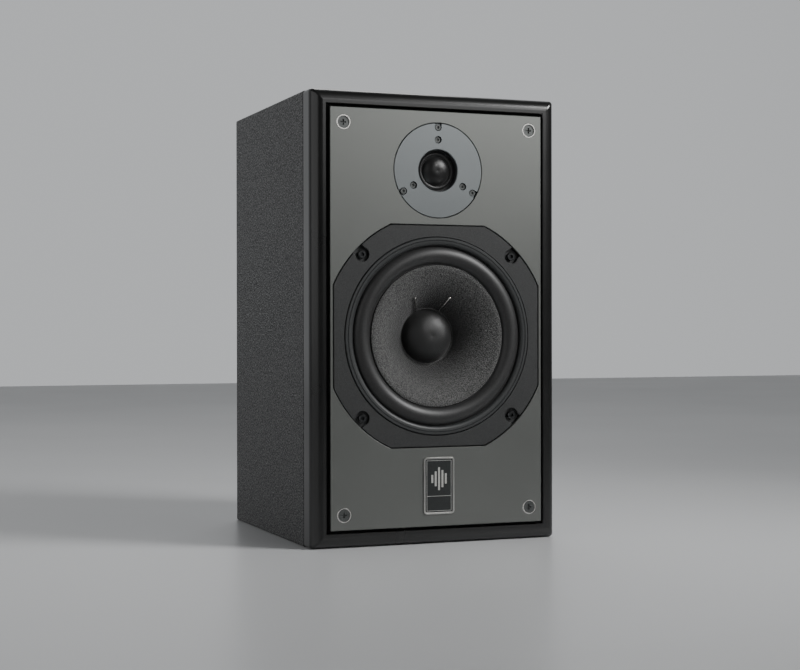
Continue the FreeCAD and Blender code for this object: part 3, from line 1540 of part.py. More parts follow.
def post_knobs():
    """For each post, the washer that slides and the fluted knob that turns on the stem."""
    # Seen from the front, so the post on the left from behind stands at +X.
    for colour, x in (("red", "-post_spacing / 2"), ("black", "post_spacing / 2")):
        washer = rear_body(f"post_washer_{colour}", x)
        low = "(collar_high + washer_play)"
        high = f"({low} + washer_thick)"
        revolve(washer, ring("(stem_radius + washer_play)", "washer_radius", high, low))
        knob = rear_body(f"post_knob_{colour}", x)
        bore, shoulder = "(stem_radius + stem_play)", "(knob_end - knob_wall)"
        revolve(
            knob,
            [
                ("knob_mouth", "knob_end"),
                ("knob_mouth", shoulder),
                (bore, shoulder),
                (bore, KNOB_Z),
                ("knob_radius - 1.2", KNOB_Z),
                ("knob_radius", f"{KNOB_Z} + 1.2"),
                ("knob_radius", "knob_end - 1.5"),
                ("knob_radius - 1.5", "knob_end", "left", "1.5"),
            ],
        )
        groove = new_sketch(knob, out=f"{KNOB_Z} + 2.5")
        circle(groove, "knob_radius + flute_radius * 0.35", "0", "flute_radius")
        flute = pocket(knob, groove, "(knob_end - 2)", forwards=True)
        around(knob, [flute], "knob_flutes")


# ---------------------------------------------------------------- crossover


def inner_body(label, x="0", up="0"):
    """A body on the crossover, with z forwards from the rear panel's inner face."""
    return new_body(label, x=x, y=f"{REAR_PLANE} - rear_wall", z=f"board_z + {up}")


def crossover():
    """Board on four standoffs, with inductors, capacitors and resistors."""
    inset_x, inset_y = "(board_width / 2 - board_inset)", "(board_height / 2 - board_inset)"
    board = inner_body("crossover_board")
    sketch = new_sketch(board, out="standoff_high + board_thick")
    outline(sketch, rectangle("board_width", "board_height"))
    for side in ("", "-"):
        for level in ("", "-"):
            circle(sketch, f"{side}{inset_x}", f"{level}{inset_y}", "(board_screw_shank + hole_play)")
    pad(board, sketch, "board_thick")
    standoffs = inner_body("board_standoffs")
    sketch = new_sketch(standoffs, out="standoff_high")
    circle(sketch, inset_x, inset_y, "standoff_radius")
    circle(sketch, inset_x, inset_y, "(board_screw_shank + hole_play)")
    four_corners(standoffs, [pad(standoffs, sketch, "standoff_high")])
    screws = inner_body("board_screws")
    head = new_sketch(screws, out="standoff_high + board_thick + board_screw_head_high")
    circle(head, inset_x, inset_y, "board_screw_head")
    shank = new_sketch(screws, out="standoff_high + board_thick")
    circle(shank, inset_x, inset_y, "board_screw_shank")
    heads = pad(screws, head, "board_screw_head_high")
    shanks = pad(screws, shank, "(standoff_high + board_thick + board_screw_bite)")
    four_corners(screws, [heads, shanks])
    top = "(standoff_high + board_thick)"
    coils = inner_body("crossover_inductors")
    sketch = new_sketch(coils, out=f"{top} + inductor_high")
    circle(sketch, "inductor_x", "inductor_y", "inductor_radius")
    circle(sketch, "inductor_x", "inductor_y", "inductor_bore")
    mirror(coils, [pad(coils, sketch, "inductor_high")], "YZ_Plane")
    caps = inner_body("crossover_capacitors")
    features = []
    for row in range(2):
        across = "capacitor_x - capacitor_long / 2"
        sketch = new_sketch(caps, "YZ_Plane", out=across)
        circle(sketch, f"capacitor_top - capacitor_row * {row}", f"{top} + capacitor_radius", "capacitor_radius")
        features.append(pad(caps, sketch, "capacitor_long", backwards=False))
    mirror(caps, features, "YZ_Plane")
    resistors = inner_body("crossover_resistors")
    sketch = new_sketch(resistors, out=f"{top} + resistor_high")
    x, half = "resistor_x", "resistor_wide / 2"
    low, high = "-resistor_y - resistor_high / 2", "-resistor_y + resistor_high / 2"
    outline(sketch, [(f"{x} - {half}", low), (f"{x} + {half}", low), (f"{x} + {half}", high), (f"{x} - {half}", high)])
    mirror(resistors, [pad(resistors, sketch, "resistor_high")], "YZ_Plane")


# ---------------------------------------------------------------- inside the cabinet


def acoustic_foam():
    """Foam pads glued to the side, top and bottom panels."""
    thick = value("foam_thick")
    front = value(f"{FRONT_PLANE} + {BOARD_BACK} + foam_end")
    rear = value(f"{REAR_PLANE} - rear_wall - foam_end")
    top_front, top_rear = front + value("top_foam_front"), rear - value("top_foam_rear")
    half, high, wall = value("width / 2 - wall"), value("height"), value("wall")
    tall = value("side_foam_high")
    across = 2 * (half - thick - value("foam_clear"))
    middle, deep = (front + rear) / 2, rear - front
    pads = [
        box(-half + thick / 2, middle, (high - tall) / 2, thick, deep, tall),
        box(half - thick / 2, middle, (high - tall) / 2, thick, deep, tall),
        box(0, middle, wall, across, deep, thick),
        box(0, (top_front + top_rear) / 2, high - wall - thick, across, top_rear - top_front, thick),
    ]
    solid_node("acoustic_foam", Part.makeCompound(pads))


def hookup_wires():
    """Insulated wires: terminals to crossover, and crossover to each drive unit."""
    radius = value("wire_radius")
    rear = value(f"{REAR_PLANE} - rear_wall")
    front = value(FRONT_PLANE)
    board_front = rear - value("standoff_high + board_thick")
    board_low = value("board_z - board_height / 2")
    board_mid = value("board_z")
    tag_tip = value("terminal_z - solder_tag_long")
    tag_y = value(f"{REAR_PLANE} - terminal_thick - inner_washer - nut_thick - tag_thick")
    woofer_tag = value("woofer_z + tag_outer + 7")
    woofer_y = front + value("tag_z")
    tweeter_tag = value("tweeter_z - small_vent - 4 - strip_high / 2")
    tweeter_y = front + value(f"{SMALL_BACK_Z} + small_back_plate + strip_thick + strip_tag_long")
    for colour, side in (("red", -1), ("black", 1)):
        post = side * value("post_spacing") / 2
        feed = [
            (post, tag_y - radius, tag_tip + 1),
            (post + side * 2, tag_y - 12, tag_tip + 2),
            (post + side * 14, tag_y - 24, tag_tip + 24),
            (post + side * 12, board_front - 16, board_low - 4),
            (post + side * 6, board_front - 9, board_low + 10),
            (post + side * 6, board_front, board_low + 10),
        ]
        edge = side * (value("board_width") / 2 - 6)
        tag = side * value("tag_x")
        to_woofer = [
            (tag, woofer_y, woofer_tag),
            (tag, woofer_y, woofer_tag + 14),
            (tag + side * 10, woofer_y + 26, woofer_tag + 22),
            (edge * 0.9, woofer_y + 70, woofer_tag + 2),
            (edge, board_front - 50, board_mid + 8),
            (edge, board_front - 18, board_mid + 12),
            (edge, board_front, board_mid + 12),
        ]
        strip = side * value("strip_tag_x")
        to_tweeter = [
            (strip, tweeter_y, tweeter_tag),
            (strip, tweeter_y + 16, tweeter_tag),
            (strip + side * 10, tweeter_y + 40, tweeter_tag - 12),
            (side * 8, board_front - 60, board_mid + 78),
            (side * 4, board_front - 22, board_mid + 60),
            (side * 4, board_front, board_mid + 60),
        ]
        solids = [tube_along(path, radius) for path in (feed, to_woofer, to_tweeter)]
        solid_node(f"hookup_wires_{colour}", Part.makeCompound(solids))


# ---------------------------------------------------------------- build and export


def build():
    """Makes every node, group by group."""
    fill_sheet()
    for group in (
        case, rear_panel, front_frame, baffle_board, front_panel, panel_screws, badge,
        woofer_chassis, woofer_fixings, trim_ring, woofer_motor, woofer_coil, woofer_cone, dust_cap,
        woofer_surround, woofer_spider, coil_leads, woofer_tags, tinsel_leads,
        tweeter_faceplate, tweeter_screws, tweeter_gasket, tweeter_moving_parts, tweeter_motor,
        tweeter_tags, terminal_plate, binding_posts, post_knobs, crossover, acoustic_foam, hookup_wires,
    ):
        group()
    doc.recompute()


def check():
    """Stops before anything is written if an object failed or a node's shape is unsound."""
    faults = [o.Label for o in doc.Objects if {"Invalid", "Error"} & set(o.State)]
    for node in nodes:
        if node.Shape.isNull() or not node.Shape.isValid() or not node.Shape.Solids:
            faults.append(node.Label)
    if faults:
        raise RuntimeError(f"these objects failed: {sorted(set(faults))}")


def export():
    """Writes each node's shape to its own STEP file."""
    os.makedirs("parts", exist_ok=True)
    for node in nodes:
        node.Shape.exportStep(os.path.join("parts", f"{node.Label}.step"))
    print(f"{len(nodes)} nodes written")


build()
check()
export()
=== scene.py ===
import math

import bmesh
import bpy
import numpy as np
from mathutils import Matrix, Vector


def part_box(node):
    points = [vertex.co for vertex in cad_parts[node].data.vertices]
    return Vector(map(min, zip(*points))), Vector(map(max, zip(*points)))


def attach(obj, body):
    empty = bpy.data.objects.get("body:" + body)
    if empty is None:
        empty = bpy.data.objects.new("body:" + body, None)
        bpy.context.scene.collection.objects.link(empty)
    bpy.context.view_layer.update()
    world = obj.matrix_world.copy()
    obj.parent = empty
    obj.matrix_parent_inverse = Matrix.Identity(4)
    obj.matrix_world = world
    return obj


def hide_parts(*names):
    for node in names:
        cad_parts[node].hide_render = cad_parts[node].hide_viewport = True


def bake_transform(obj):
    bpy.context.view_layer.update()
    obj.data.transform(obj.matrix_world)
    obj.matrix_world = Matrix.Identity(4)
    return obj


bl_info = {
    "name": "Bookshelf loudspeaker",
    "version": (1, 0, 0),
    "blender": (4, 5, 0),
    "location": "3D View > Sidebar > Loudspeaker",
    "description": "Finishes and soft pieces of a two-way closed-box loudspeaker",
    "category": "Object",
}

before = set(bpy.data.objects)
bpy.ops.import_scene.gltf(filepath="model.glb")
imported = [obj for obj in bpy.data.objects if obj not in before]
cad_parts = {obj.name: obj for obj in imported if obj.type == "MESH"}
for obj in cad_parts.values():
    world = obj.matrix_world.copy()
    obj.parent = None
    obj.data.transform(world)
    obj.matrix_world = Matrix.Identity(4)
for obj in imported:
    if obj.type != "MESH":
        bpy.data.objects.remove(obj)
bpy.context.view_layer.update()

MM = 0.001
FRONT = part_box("front_panel")[0].y
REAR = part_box("rear_panel")[1].y
WOOFER_Z = sum(corner.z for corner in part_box("woofer_magnet")) / 2
TWEETER_Z = sum(corner.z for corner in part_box("tweeter_magnet")) / 2
CABINET, CONE_BODY, DOME_BODY = "cabinet", "woofer_diaphragm", "tweeter_diaphragm"


# ---------------------------------------------------------------- colours and nodes


def linear(code):
    """An sRGB hex colour as the linear red, green, blue and alpha that a shader takes."""
    parts = [int(code[i : i + 2], 16) / 255 for i in (1, 3, 5)]
    low = [c / 12.92 if c <= 0.04045 else ((c + 0.055) / 1.055) ** 2.4 for c in parts]
    return (*low, 1.0)


def add(tree, kind, inputs=None, **settings):
    """Adds a node with its settings, and its values and links by socket name or number."""
    made = tree.nodes.new(kind)
    for name, value in settings.items():
        setattr(made, name, value)
    for key, value in (inputs or {}).items():
        if isinstance(value, bpy.types.NodeSocket):
            tree.links.new(value, made.inputs[key])
        else:
            made.inputs[key].default_value = value
    return made


def start_material(name):
    """An empty material, its node tree, and the object's own coordinates in millimetres."""
    made = bpy.data.materials.new(name)
    made.use_nodes = True
    tree = made.node_tree
    tree.nodes.clear()
    place = add(tree, "ShaderNodeTexCoord")
    inputs = {0: place.outputs["Object"], "Scale": 1000.0}
    coords = add(tree, "ShaderNodeVectorMath", inputs, operation="SCALE")
    return made, tree, coords.outputs[0]


def end_material(tree, surface):
    """Ends a material in a principled shader with these socket values."""
    shader = add(tree, "ShaderNodeBsdfPrincipled", surface)
    add(tree, "ShaderNodeOutputMaterial", {"Surface": shader.outputs[0]})


def grained(name, dark, light, grain, deep, rough, spread=0.06, contrast=(0.35, 0.65), **surface):
    """A finish whose colour, gloss and height follow one fine grain, its size given in millimetres."""
    made, tree, coords = start_material(name)
    speck = add(tree, "ShaderNodeTexNoise", {"Vector": coords, "Scale": 1 / grain, "Detail": 3.0})
    cloud = add(tree, "ShaderNodeTexNoise", {"Vector": coords, "Scale": 1 / 45, "Detail": 2.0})
    ramp = add(tree, "ShaderNodeValToRGB", {"Fac": speck.outputs[0]})
    for stop, (place, colour) in zip(ramp.color_ramp.elements, zip(contrast, (dark, light))):
        stop.position, stop.color = place, linear(colour)
    shade = add(
        tree,
        "ShaderNodeMapRange",
        {"Value": cloud.outputs[0], "To Min": rough - spread, "To Max": rough + spread},
    )
    height = {"Height": speck.outputs[0], "Distance": deep * MM, "Strength": 1.0}
    bump = add(tree, "ShaderNodeBump", height)
    values = {
        "Base Color": ramp.outputs[0],
        "Roughness": shade.outputs[0],
        "Normal": bump.outputs[0],
    }
    values.update({key.replace("_", " "): value for key, value in surface.items()})
    end_material(tree, values)
    return made


# ---------------------------------------------------------------- finishes


def textured_paint():
    """Textured polyurethane paint, rolled: black, with a coarse eggshell grain.
    It glitters where it faces a light."""
    made, tree, coords = start_material("textured paint")
    # The real grain is taken to be about 0.8 mm. It is drawn at about 1.6 mm so that it shows.
    inputs = {"Vector": coords, "Scale": 1 / 2.0, "Detail": 4.0, "Roughness": 0.62}
    grain = add(tree, "ShaderNodeTexNoise", inputs)
    pits = add(tree, "ShaderNodeTexVoronoi", {"Vector": coords, "Scale": 1 / 1.6, "Randomness": 1.0})
    speck = add(tree, "ShaderNodeTexNoise", {"Vector": coords, "Scale": 1 / 1.4, "Detail": 1.0})
    ramp = add(tree, "ShaderNodeValToRGB", {"Fac": speck.outputs[0]})
    ramp.color_ramp.elements[0].position = 0.48
    ramp.color_ramp.elements[0].color = linear("#101010")
    ramp.color_ramp.elements[1].position = 0.76
    ramp.color_ramp.elements[1].color = linear("#5c5c5b")
    height = add(
        tree,
        "ShaderNodeMath",
        {0: pits.outputs["Distance"], 1: 0.45, 2: grain.outputs[0]},
        operation="MULTIPLY_ADD",
    )
    bump = add(
        tree,
        "ShaderNodeBump",
        {"Height": height.outputs[0], "Distance": 0.55 * MM, "Strength": 1.0},
    )
    shine = add(
        tree,
        "ShaderNodeMapRange",
        {"Value": speck.outputs[0], "From Min": 0.35, "From Max": 0.65, "To Min": 0.6, "To Max": 0.28},
    )
    end_material(
        tree,
        {
            "Base Color": ramp.outputs[0],
            "Roughness": shine.outputs[0],
            "Normal": bump.outputs[0],
            "IOR": 1.5,
        },
    )
    return made


def satin_lacquer():
    """Polyurethane lacquer, sprayed and rubbed down: near black, satin, with the faintest orange peel."""
    made, tree, coords = start_material("satin lacquer")
    peel = add(tree, "ShaderNodeTexNoise", {"Vector": coords, "Scale": 1 / 2.6, "Detail": 2.0})
    wear = add(tree, "ShaderNodeTexNoise", {"Vector": coords, "Scale": 1 / 60, "Detail": 3.0})
    bump = add(tree, "ShaderNodeBump", {"Height": peel.outputs[0], "Distance": 0.02 * MM, "Strength": 0.6})
    rough = add(
        tree,
        "ShaderNodeMapRange",
        {"Value": wear.outputs[0], "To Min": 0.24, "To Max": 0.34},
    )
    colour = add(tree, "ShaderNodeValToRGB", {"Fac": wear.outputs[0]})
    colour.color_ramp.elements[0].color = linear("#0c0c0c")
    colour.color_ramp.elements[1].color = linear("#131312")
    end_material(
        tree,
        {
            "Base Color": colour.outputs[0],
            "Roughness": rough.outputs[0],
            "Normal": bump.outputs[0],
            "IOR": 1.5,
            "Coat Weight": 0.25,
            "Coat Roughness": 0.18,
        },
    )
    return made


def graphite(name, dark, light, rough):
    """Aluminium sheet, bead-blasted and graphite anodised: a soft even metal sheen with a very fine tooth."""
    return grained(
        name, dark, light, 0.5, 0.006, rough, spread=0.03, contrast=(0.3, 0.7), Metallic=0.9
    )


def panel_finish():
    """Front panel's sheet."""
    return graphite("graphite anodised sheet", "#747673", "#7c7e7b", 0.38)


def faceplate_finish():
    """Tweeter's face plate, a little cooler than the panel."""
    return graphite("graphite anodised plate", "#797d7e", "#808485", 0.37)


def powder_coat():
    """Powder coat on die-cast alloy: black with a fine sandy texture."""
    return grained("powder coat", "#1c1d1d", "#303131", 0.6, 0.09, 0.5, IOR=1.5)


def ring_rubber():
    """Moulded nitrile rubber: charcoal, dull, with a faint bloom."""
    return grained("nitrile rubber", "#202223", "#2a2c2c", 0.9, 0.02, 0.5, IOR=1.52)


def surround_rubber():
    """Moulded butyl rubber: smooth and satin, so its roll takes a soft highlight."""
    return grained("butyl rubber", "#1e1e1e", "#282828", 1.4, 0.012, 0.48, IOR=1.52)


def black_oxide():
    """Black oxide on steel: dark, slightly oily, brighter on its edges."""
    return grained("black oxide steel", "#3a3b3c", "#525354", 0.4, 0.02, 0.3, Metallic=0.9)


def grey_steel():
    """Phosphated steel: a soft dark grey."""
    return grained("phosphated steel", "#565857", "#6c6e6d", 0.5, 0.02, 0.4, Metallic=0.9)


def baffle_painted_shade():
    """Near black on the baffle board, as painted shade in the gap round the front panel: dead matte, with the
    fibres just raised.
    """
    return grained("baffle painted shade", "#0d0d0d", "#161616", 0.9, 0.05, 0.8, IOR=1.5)


def bright_nickel():
    """Nickel plating, polished: bright and clean."""
    return grained("bright nickel", "#c9c8c4", "#d6d5d1", 0.8, 0.004, 0.22, Metallic=1.0)


def satin_nickel():
    """Nickel plating, brushed lightly: the badge's rim."""
    return grained("satin nickel", "#b9b8b4", "#cac9c6", 0.5, 0.01, 0.3, Metallic=1.0)


def zinc_steel():
    """Zinc plating on turned steel: grey with a faint blue cast."""
    return grained("zinc plated steel", "#8d9092", "#a4a7a9", 1.2, 0.02, 0.36, Metallic=1.0)


def ferrite():
    """Sintered ferrite, ground on its faces: charcoal ceramic with a fine grit."""
    return grained("sintered ferrite", "#2b2b2d", "#3b3b3d", 0.5, 0.05, 0.62, IOR=1.6)


def doped_fibre_and_neck_shade():
    """Pressed paper fibre with a damping coat brushed on: matte, dark grey, with a rough open nap.
    Towards the neck the colour is mixed to near black as painted shade round the dust cap."""
    made, tree, coords = start_material("doped fibre and neck shade")
    # The real nap is taken to be about 0.5 mm. It is drawn at 1 mm so that it shows.
    inputs = {"Vector": coords, "Scale": 1 / 1.1, "Detail": 4.0, "Roughness": 0.75}
    nap = add(tree, "ShaderNodeTexNoise", inputs)
    tufts = add(tree, "ShaderNodeTexVoronoi", {"Vector": coords, "Scale": 1 / 1.0})
    inputs = {0: coords, 1: (0, 0, WOOFER_Z / MM)}
    offset = add(tree, "ShaderNodeVectorMath", inputs, operation="SUBTRACT")
    flat = add(tree, "ShaderNodeVectorMath", {0: offset.outputs[0], 1: (1, 0, 1)}, operation="MULTIPLY")
    radius = add(tree, "ShaderNodeVectorMath", {0: flat.outputs[0]}, operation="LENGTH")
    # Painted shade: the share of near black grows towards the neck, where the cone lies in shade round the
    # dust cap.
    neck_shade = add(
        tree,
        "ShaderNodeMapRange",
        {"Value": radius.outputs["Value"], "From Min": 25.0, "From Max": 52.0, "To Min": 0.85, "To Max": 0.0},
        interpolation_type="SMOOTHSTEP",
    )
    ramp = add(tree, "ShaderNodeValToRGB", {"Fac": nap.outputs[0]})
    ramp.color_ramp.elements[0].position, ramp.color_ramp.elements[1].position = 0.4, 0.62
    ramp.color_ramp.elements[0].color = linear("#111111")
    ramp.color_ramp.elements[1].color = linear("#626261")
    # Painted shade: towards the neck the nap's colour is mixed with near black #0b0b0b.
    # Sockets 6 and 7 are the two colours that a colour mix takes.
    inputs = {0: neck_shade.outputs[0], 6: ramp.outputs[0], 7: linear("#0b0b0b")}
    fibre_and_neck_shade = add(tree, "ShaderNodeMix", inputs, data_type="RGBA")
    height = add(
        tree,
        "ShaderNodeMath",
        {0: tufts.outputs["Distance"], 1: 0.7, 2: nap.outputs[0]},
        operation="MULTIPLY_ADD",
    )
    bump = add(tree, "ShaderNodeBump", {"Height": height.outputs[0], "Distance": 0.7 * MM})
    end_material(
        tree,
        {
            "Base Color": fibre_and_neck_shade.outputs[2],
            "Roughness": 0.66,
            "Normal": bump.outputs[0],
            "IOR": 1.45,
            "Sheen Weight": 0.25,
            "Sheen Roughness": 0.4,
        },
    )
    return made


def woven(name, dark, light, thread, deep, rough, angle=0.0, sheen=0.1):
    """Plain-woven cloth: two sets of threads crossing, seen from the front."""
    made, tree, coords = start_material(name)
    turn = add(tree, "ShaderNodeMapping", {"Vector": coords, "Rotation": (0, angle, 0)})
    waves = [
        add(
            tree,
            "ShaderNodeTexWave",
            # A wave texture repeats every pi/10 of its unit, so this makes one band a thread.
            {"Vector": turn.outputs[0], "Scale": math.pi / 10 / thread, "Distortion": 0.6, "Detail": 1.0},
            bands_direction=direction,
            wave_profile="SIN",
        )
        for direction in ("X", "Z")
    ]
    inputs = {0: waves[0].outputs[1], 1: waves[1].outputs[1]}
    cross = add(tree, "ShaderNodeMath", inputs, operation="MULTIPLY")
    ramp = add(tree, "ShaderNodeValToRGB", {"Fac": cross.outputs[0]})
    ramp.color_ramp.elements[0].color, ramp.color_ramp.elements[1].color = linear(dark), linear(light)
    bump = add(tree, "ShaderNodeBump", {"Height": cross.outputs[0], "Distance": deep * MM})
    end_material(
        tree,
        {
            "Base Color": ramp.outputs[0],
            "Roughness": rough,
            "Normal": bump.outputs[0],
            "IOR": 1.48,
            "Sheen Weight": sheen,
        },
    )
    return made


def cap_cloth():
    """Cotton, woven, pressed to a dome and doped: a satin skin over the threads."""
    return woven("doped cotton", "#101010", "#2a2a2a", 0.75, 0.1, 0.36, angle=0.785)


def dome_silk():
    """Silk, finely woven and doped: near black with a soft shine."""
    return woven("doped silk", "#070707", "#121212", 0.4, 0.03, 0.34, angle=0.4)


def spider_cloth():
    """Cotton and aramid cloth, pressed and cured with resin: amber, open weave."""
    return woven("resin cured cloth", "#8a6426", "#c39a4e", 0.9, 0.2, 0.62)


def open_foam():
    """Polyether foam, open-celled: charcoal, full of small pores."""
    made, tree, coords = start_material("open cell foam")
    cells = add(tree, "ShaderNodeTexVoronoi", {"Vector": coords, "Scale": 1 / 1.6})
    ramp = add(tree, "ShaderNodeValToRGB", {"Fac": cells.outputs["Distance"]})
    ramp.color_ramp.elements[0].position, ramp.color_ramp.elements[1].position = 0.12, 0.6
    ramp.color_ramp.elements[0].color = linear("#161617")
    ramp.color_ramp.elements[1].color = linear("#3d3d40")
    bump = add(tree, "ShaderNodeBump", {"Height": cells.outputs["Distance"], "Distance": 0.7 * MM})
    end_material(tree, {"Base Color": ramp.outputs[0], "Roughness": 0.95, "Normal": bump.outputs[0]})
    return made


def closed_foam():
    """Polyethylene foam gasket: black, closed-celled, dull."""
    return grained("closed cell foam", "#1a1a1a", "#272727", 0.7, 0.08, 0.85)


def enamelled_copper():
    """Copper wire under clear enamel: warm, glossy."""
    return grained("enamelled copper", "#9c5330", "#b9683d", 1.5, 0.01, 0.24, Metallic=1.0, Coat_Weight=0.6)


def tinned_copper():
    """Tinned copper braid: pale, soft metal sheen."""
    return grained("tinned copper", "#b7b6ae", "#d2d1ca", 0.35, 0.05, 0.34, Metallic=1.0)


def brown_film():
    """Polyimide film round the coil's former: translucent amber brown."""
    return grained("polyimide film", "#5f3d17", "#7b5220", 3.0, 0.005, 0.3, IOR=1.6)


def glue_line():
    """Cured contact glue: black, glossy, a little uneven."""
    return grained("cured glue", "#0d0d0d", "#161616", 1.6, 0.08, 0.22, IOR=1.5)


def glue_with_painted_highlight():
    """Glue round the dust cap, glossy: its grey colour is a painted highlight, a fine light line round the
    cap's rim.
    """
    # Painted highlight: these greys make a light line round the dust cap; the gloss is real.
    return grained("glue with painted highlight", "#4a4a49", "#626261", 1.6, 0.05, 0.2, IOR=1.5)


def black_anodised():
    """Aluminium, brushed and black anodised: dark satin with fine level lines."""
    made, tree, coords = start_material("black anodised aluminium")
    stretch = add(tree, "ShaderNodeMapping", {"Vector": coords, "Scale": (0.04, 1.0, 3.0)})
    lines = add(tree, "ShaderNodeTexNoise", {"Vector": stretch.outputs[0], "Scale": 1.0, "Detail": 3.0})
    ramp = add(tree, "ShaderNodeValToRGB", {"Fac": lines.outputs[0]})
    ramp.color_ramp.elements[0].position, ramp.color_ramp.elements[1].position = 0.3, 0.75
    ramp.color_ramp.elements[0].color = linear("#2a2a2b")
    ramp.color_ramp.elements[1].color = linear("#444446")
    bump = add(tree, "ShaderNodeBump", {"Height": lines.outputs[0], "Distance": 0.01 * MM})
    end_material(
        tree,
        {"Base Color": ramp.outputs[0], "Metallic": 0.9, "Roughness": 0.36, "Normal": bump.outputs[0]},
    )
    return made


def nylon(name, dark, light, rough=0.34):
    """Glass-filled nylon, moulded: smooth with a faint moulding haze."""
    return grained(name, dark, light, 2.2, 0.02, rough, IOR=1.53)


def gilt(name="gold plated brass", pitch=0.0):
    """Gold plating on turned brass. With a pitch, it carries the ridges of a thread along Y."""
    made, tree, coords = start_material(name)
    haze = add(tree, "ShaderNodeTexNoise", {"Vector": coords, "Scale": 1 / 1.5, "Detail": 2.0})
    ramp = add(tree, "ShaderNodeValToRGB", {"Fac": haze.outputs[0]})
    ramp.color_ramp.elements[0].color = linear("#c4923f")
    ramp.color_ramp.elements[1].color = linear("#dcb060")
    height = haze.outputs[0]
    deep = 0.01
    if pitch:
        ridge = add(
            tree,
            "ShaderNodeTexWave",
            {"Vector": coords, "Scale": math.pi / 10 / pitch},
            bands_direction="Y",
            wave_profile="TRI",
        )
        height, deep = ridge.outputs[1], 0.35
    bump = add(tree, "ShaderNodeBump", {"Height": height, "Distance": deep * MM})
    end_material(
        tree,
        {"Base Color": ramp.outputs[0], "Metallic": 1.0, "Roughness": 0.24, "Normal": bump.outputs[0]},
    )
    return made


def solder_mask():
    """Glass-epoxy laminate under green solder mask: glossy, with the weave just showing."""
    return woven("solder mask", "#0f3a22", "#17502f", 1.1, 0.02, 0.3, sheen=0.0)


def capacitor_film():
    """Polyester film tape round a capacitor: ochre, glossy, wrapped."""
    return grained("polyester film", "#a9822a", "#c49a38", 5.0, 0.03, 0.26, IOR=1.6)


def cast_cement():
    """Cast cement in a ceramic boat: off-white, chalky."""
    return grained("cast cement", "#b7b1a2", "#d4cfc2", 0.8, 0.15, 0.88)


def badge_lacquer():
    """Black lacquer in the badge's field, with a fine pressed tooth."""
    return grained("badge lacquer", "#141616", "#2b2e2e", 0.45, 0.05, 0.36, IOR=1.5)


def badge_silver():
    """Silver ink, screened: flat and pale."""
    return grained("silver ink", "#b4b4b0", "#cfcfcb", 0.5, 0.01, 0.4, Metallic=0.6)


FINISHES = {
    "textured paint": textured_paint,
    "satin lacquer": satin_lacquer,
    "graphite sheet": panel_finish,
    "graphite plate": faceplate_finish,
    "powder coat": powder_coat,
    "ring rubber": ring_rubber,
    "surround rubber": surround_rubber,
    "black oxide": black_oxide,
    "grey steel": grey_steel,
    "baffle painted shade": baffle_painted_shade,
    "bright nickel": bright_nickel,
    "satin nickel": satin_nickel,
    "zinc steel": zinc_steel,
    "ferrite": ferrite,
    "doped fibre and neck shade": doped_fibre_and_neck_shade,
    "cap cloth": cap_cloth,
    "dome silk": dome_silk,
    "spider cloth": spider_cloth,
    "open foam": open_foam,
    "closed foam": closed_foam,
    "copper wire": enamelled_copper,
    "tinned copper": tinned_copper,
    "brown film": brown_film,
    "glue": glue_line,
    "glue with painted highlight": glue_with_painted_highlight,
    "black anodised": black_anodised,
    "black nylon": lambda: nylon("black nylon", "#141414", "#1d1d1d"),
    "knob black": lambda: nylon("black polycarbonate", "#121212", "#191919", 0.2),
    "knob red": lambda: nylon("red polycarbonate", "#a01313", "#b21b18", 0.2),
    "gilt": gilt,
    "gilt thread": lambda: gilt("gold plated thread", 1.25),
    "solder mask": solder_mask,
    "capacitor film": capacitor_film,
    "cement": cast_cement,
    "red wire": lambda: nylon("red wire covering", "#971717", "#a82220", 0.32),
    "black wire": lambda: nylon("black wire covering", "#141414", "#1c1c1c", 0.32),
    "badge lacquer": badge_lacquer,
    "badge silver": badge_silver,
}
made_finishes = {}


def finish(name):
    """The named finish, made the first time it is asked for."""
    if name not in made_finishes:
        made_finishes[name] = FINISHES[name]()
    return made_finishes[name]


# ---------------------------------------------------------------- meshes


def dress(name, *nodes):
    """Gives CAD nodes a finish."""
    for node in nodes:
        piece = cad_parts[node]
        if not piece.data.materials:
            piece.data.materials.append(finish(name))
        for slot in piece.material_slots:
            slot.material = finish(name)


def new_piece(name, vertices, faces, look, smooth=True):
    """A mesh piece at its place in the row frame, with its doubles merged and its faces outwards."""
    mesh = bpy.data.meshes.new(name)
    mesh.from_pydata([tuple(v) for v in vertices], [], faces)
    work = bmesh.new()
    work.from_mesh(mesh)
    bmesh.ops.remove_doubles(work, verts=work.verts, dist=1e-6)
    bmesh.ops.recalc_face_normals(work, faces=work.faces)
    for face in work.faces:
        face.smooth = smooth
    work.to_mesh(mesh)
    work.free()
    mesh.materials.append(finish(look))
    piece = bpy.data.objects.new(name, mesh)
    bpy.context.scene.collection.objects.link(piece)
    if smooth:
        mesh.set_sharp_from_angle(angle=math.radians(38))
    return piece


def bow(start, end, rise, count):
    """Points along an arc from start to end, without start.
    Its middle stands rise to the left of the chord."""
    a, b = Vector(start), Vector(end)
    chord = b - a
    half = chord.length / 2
    side = Vector((-chord.y, chord.x)).normalized()
    radius = (half * half + rise * rise) / (2 * rise)
    centre = (a + b) / 2 + side * (rise - radius)
    first = math.atan2(a.y - centre.y, a.x - centre.x)
    sweep = 2 * math.asin(max(-1, min(1, half / abs(radius))))
    sweep = -sweep if rise > 0 else sweep
    turn = [first + sweep * i / count for i in range(1, count + 1)]
    return [(centre.x + abs(radius) * math.cos(t), centre.y + abs(radius) * math.sin(t)) for t in turn]


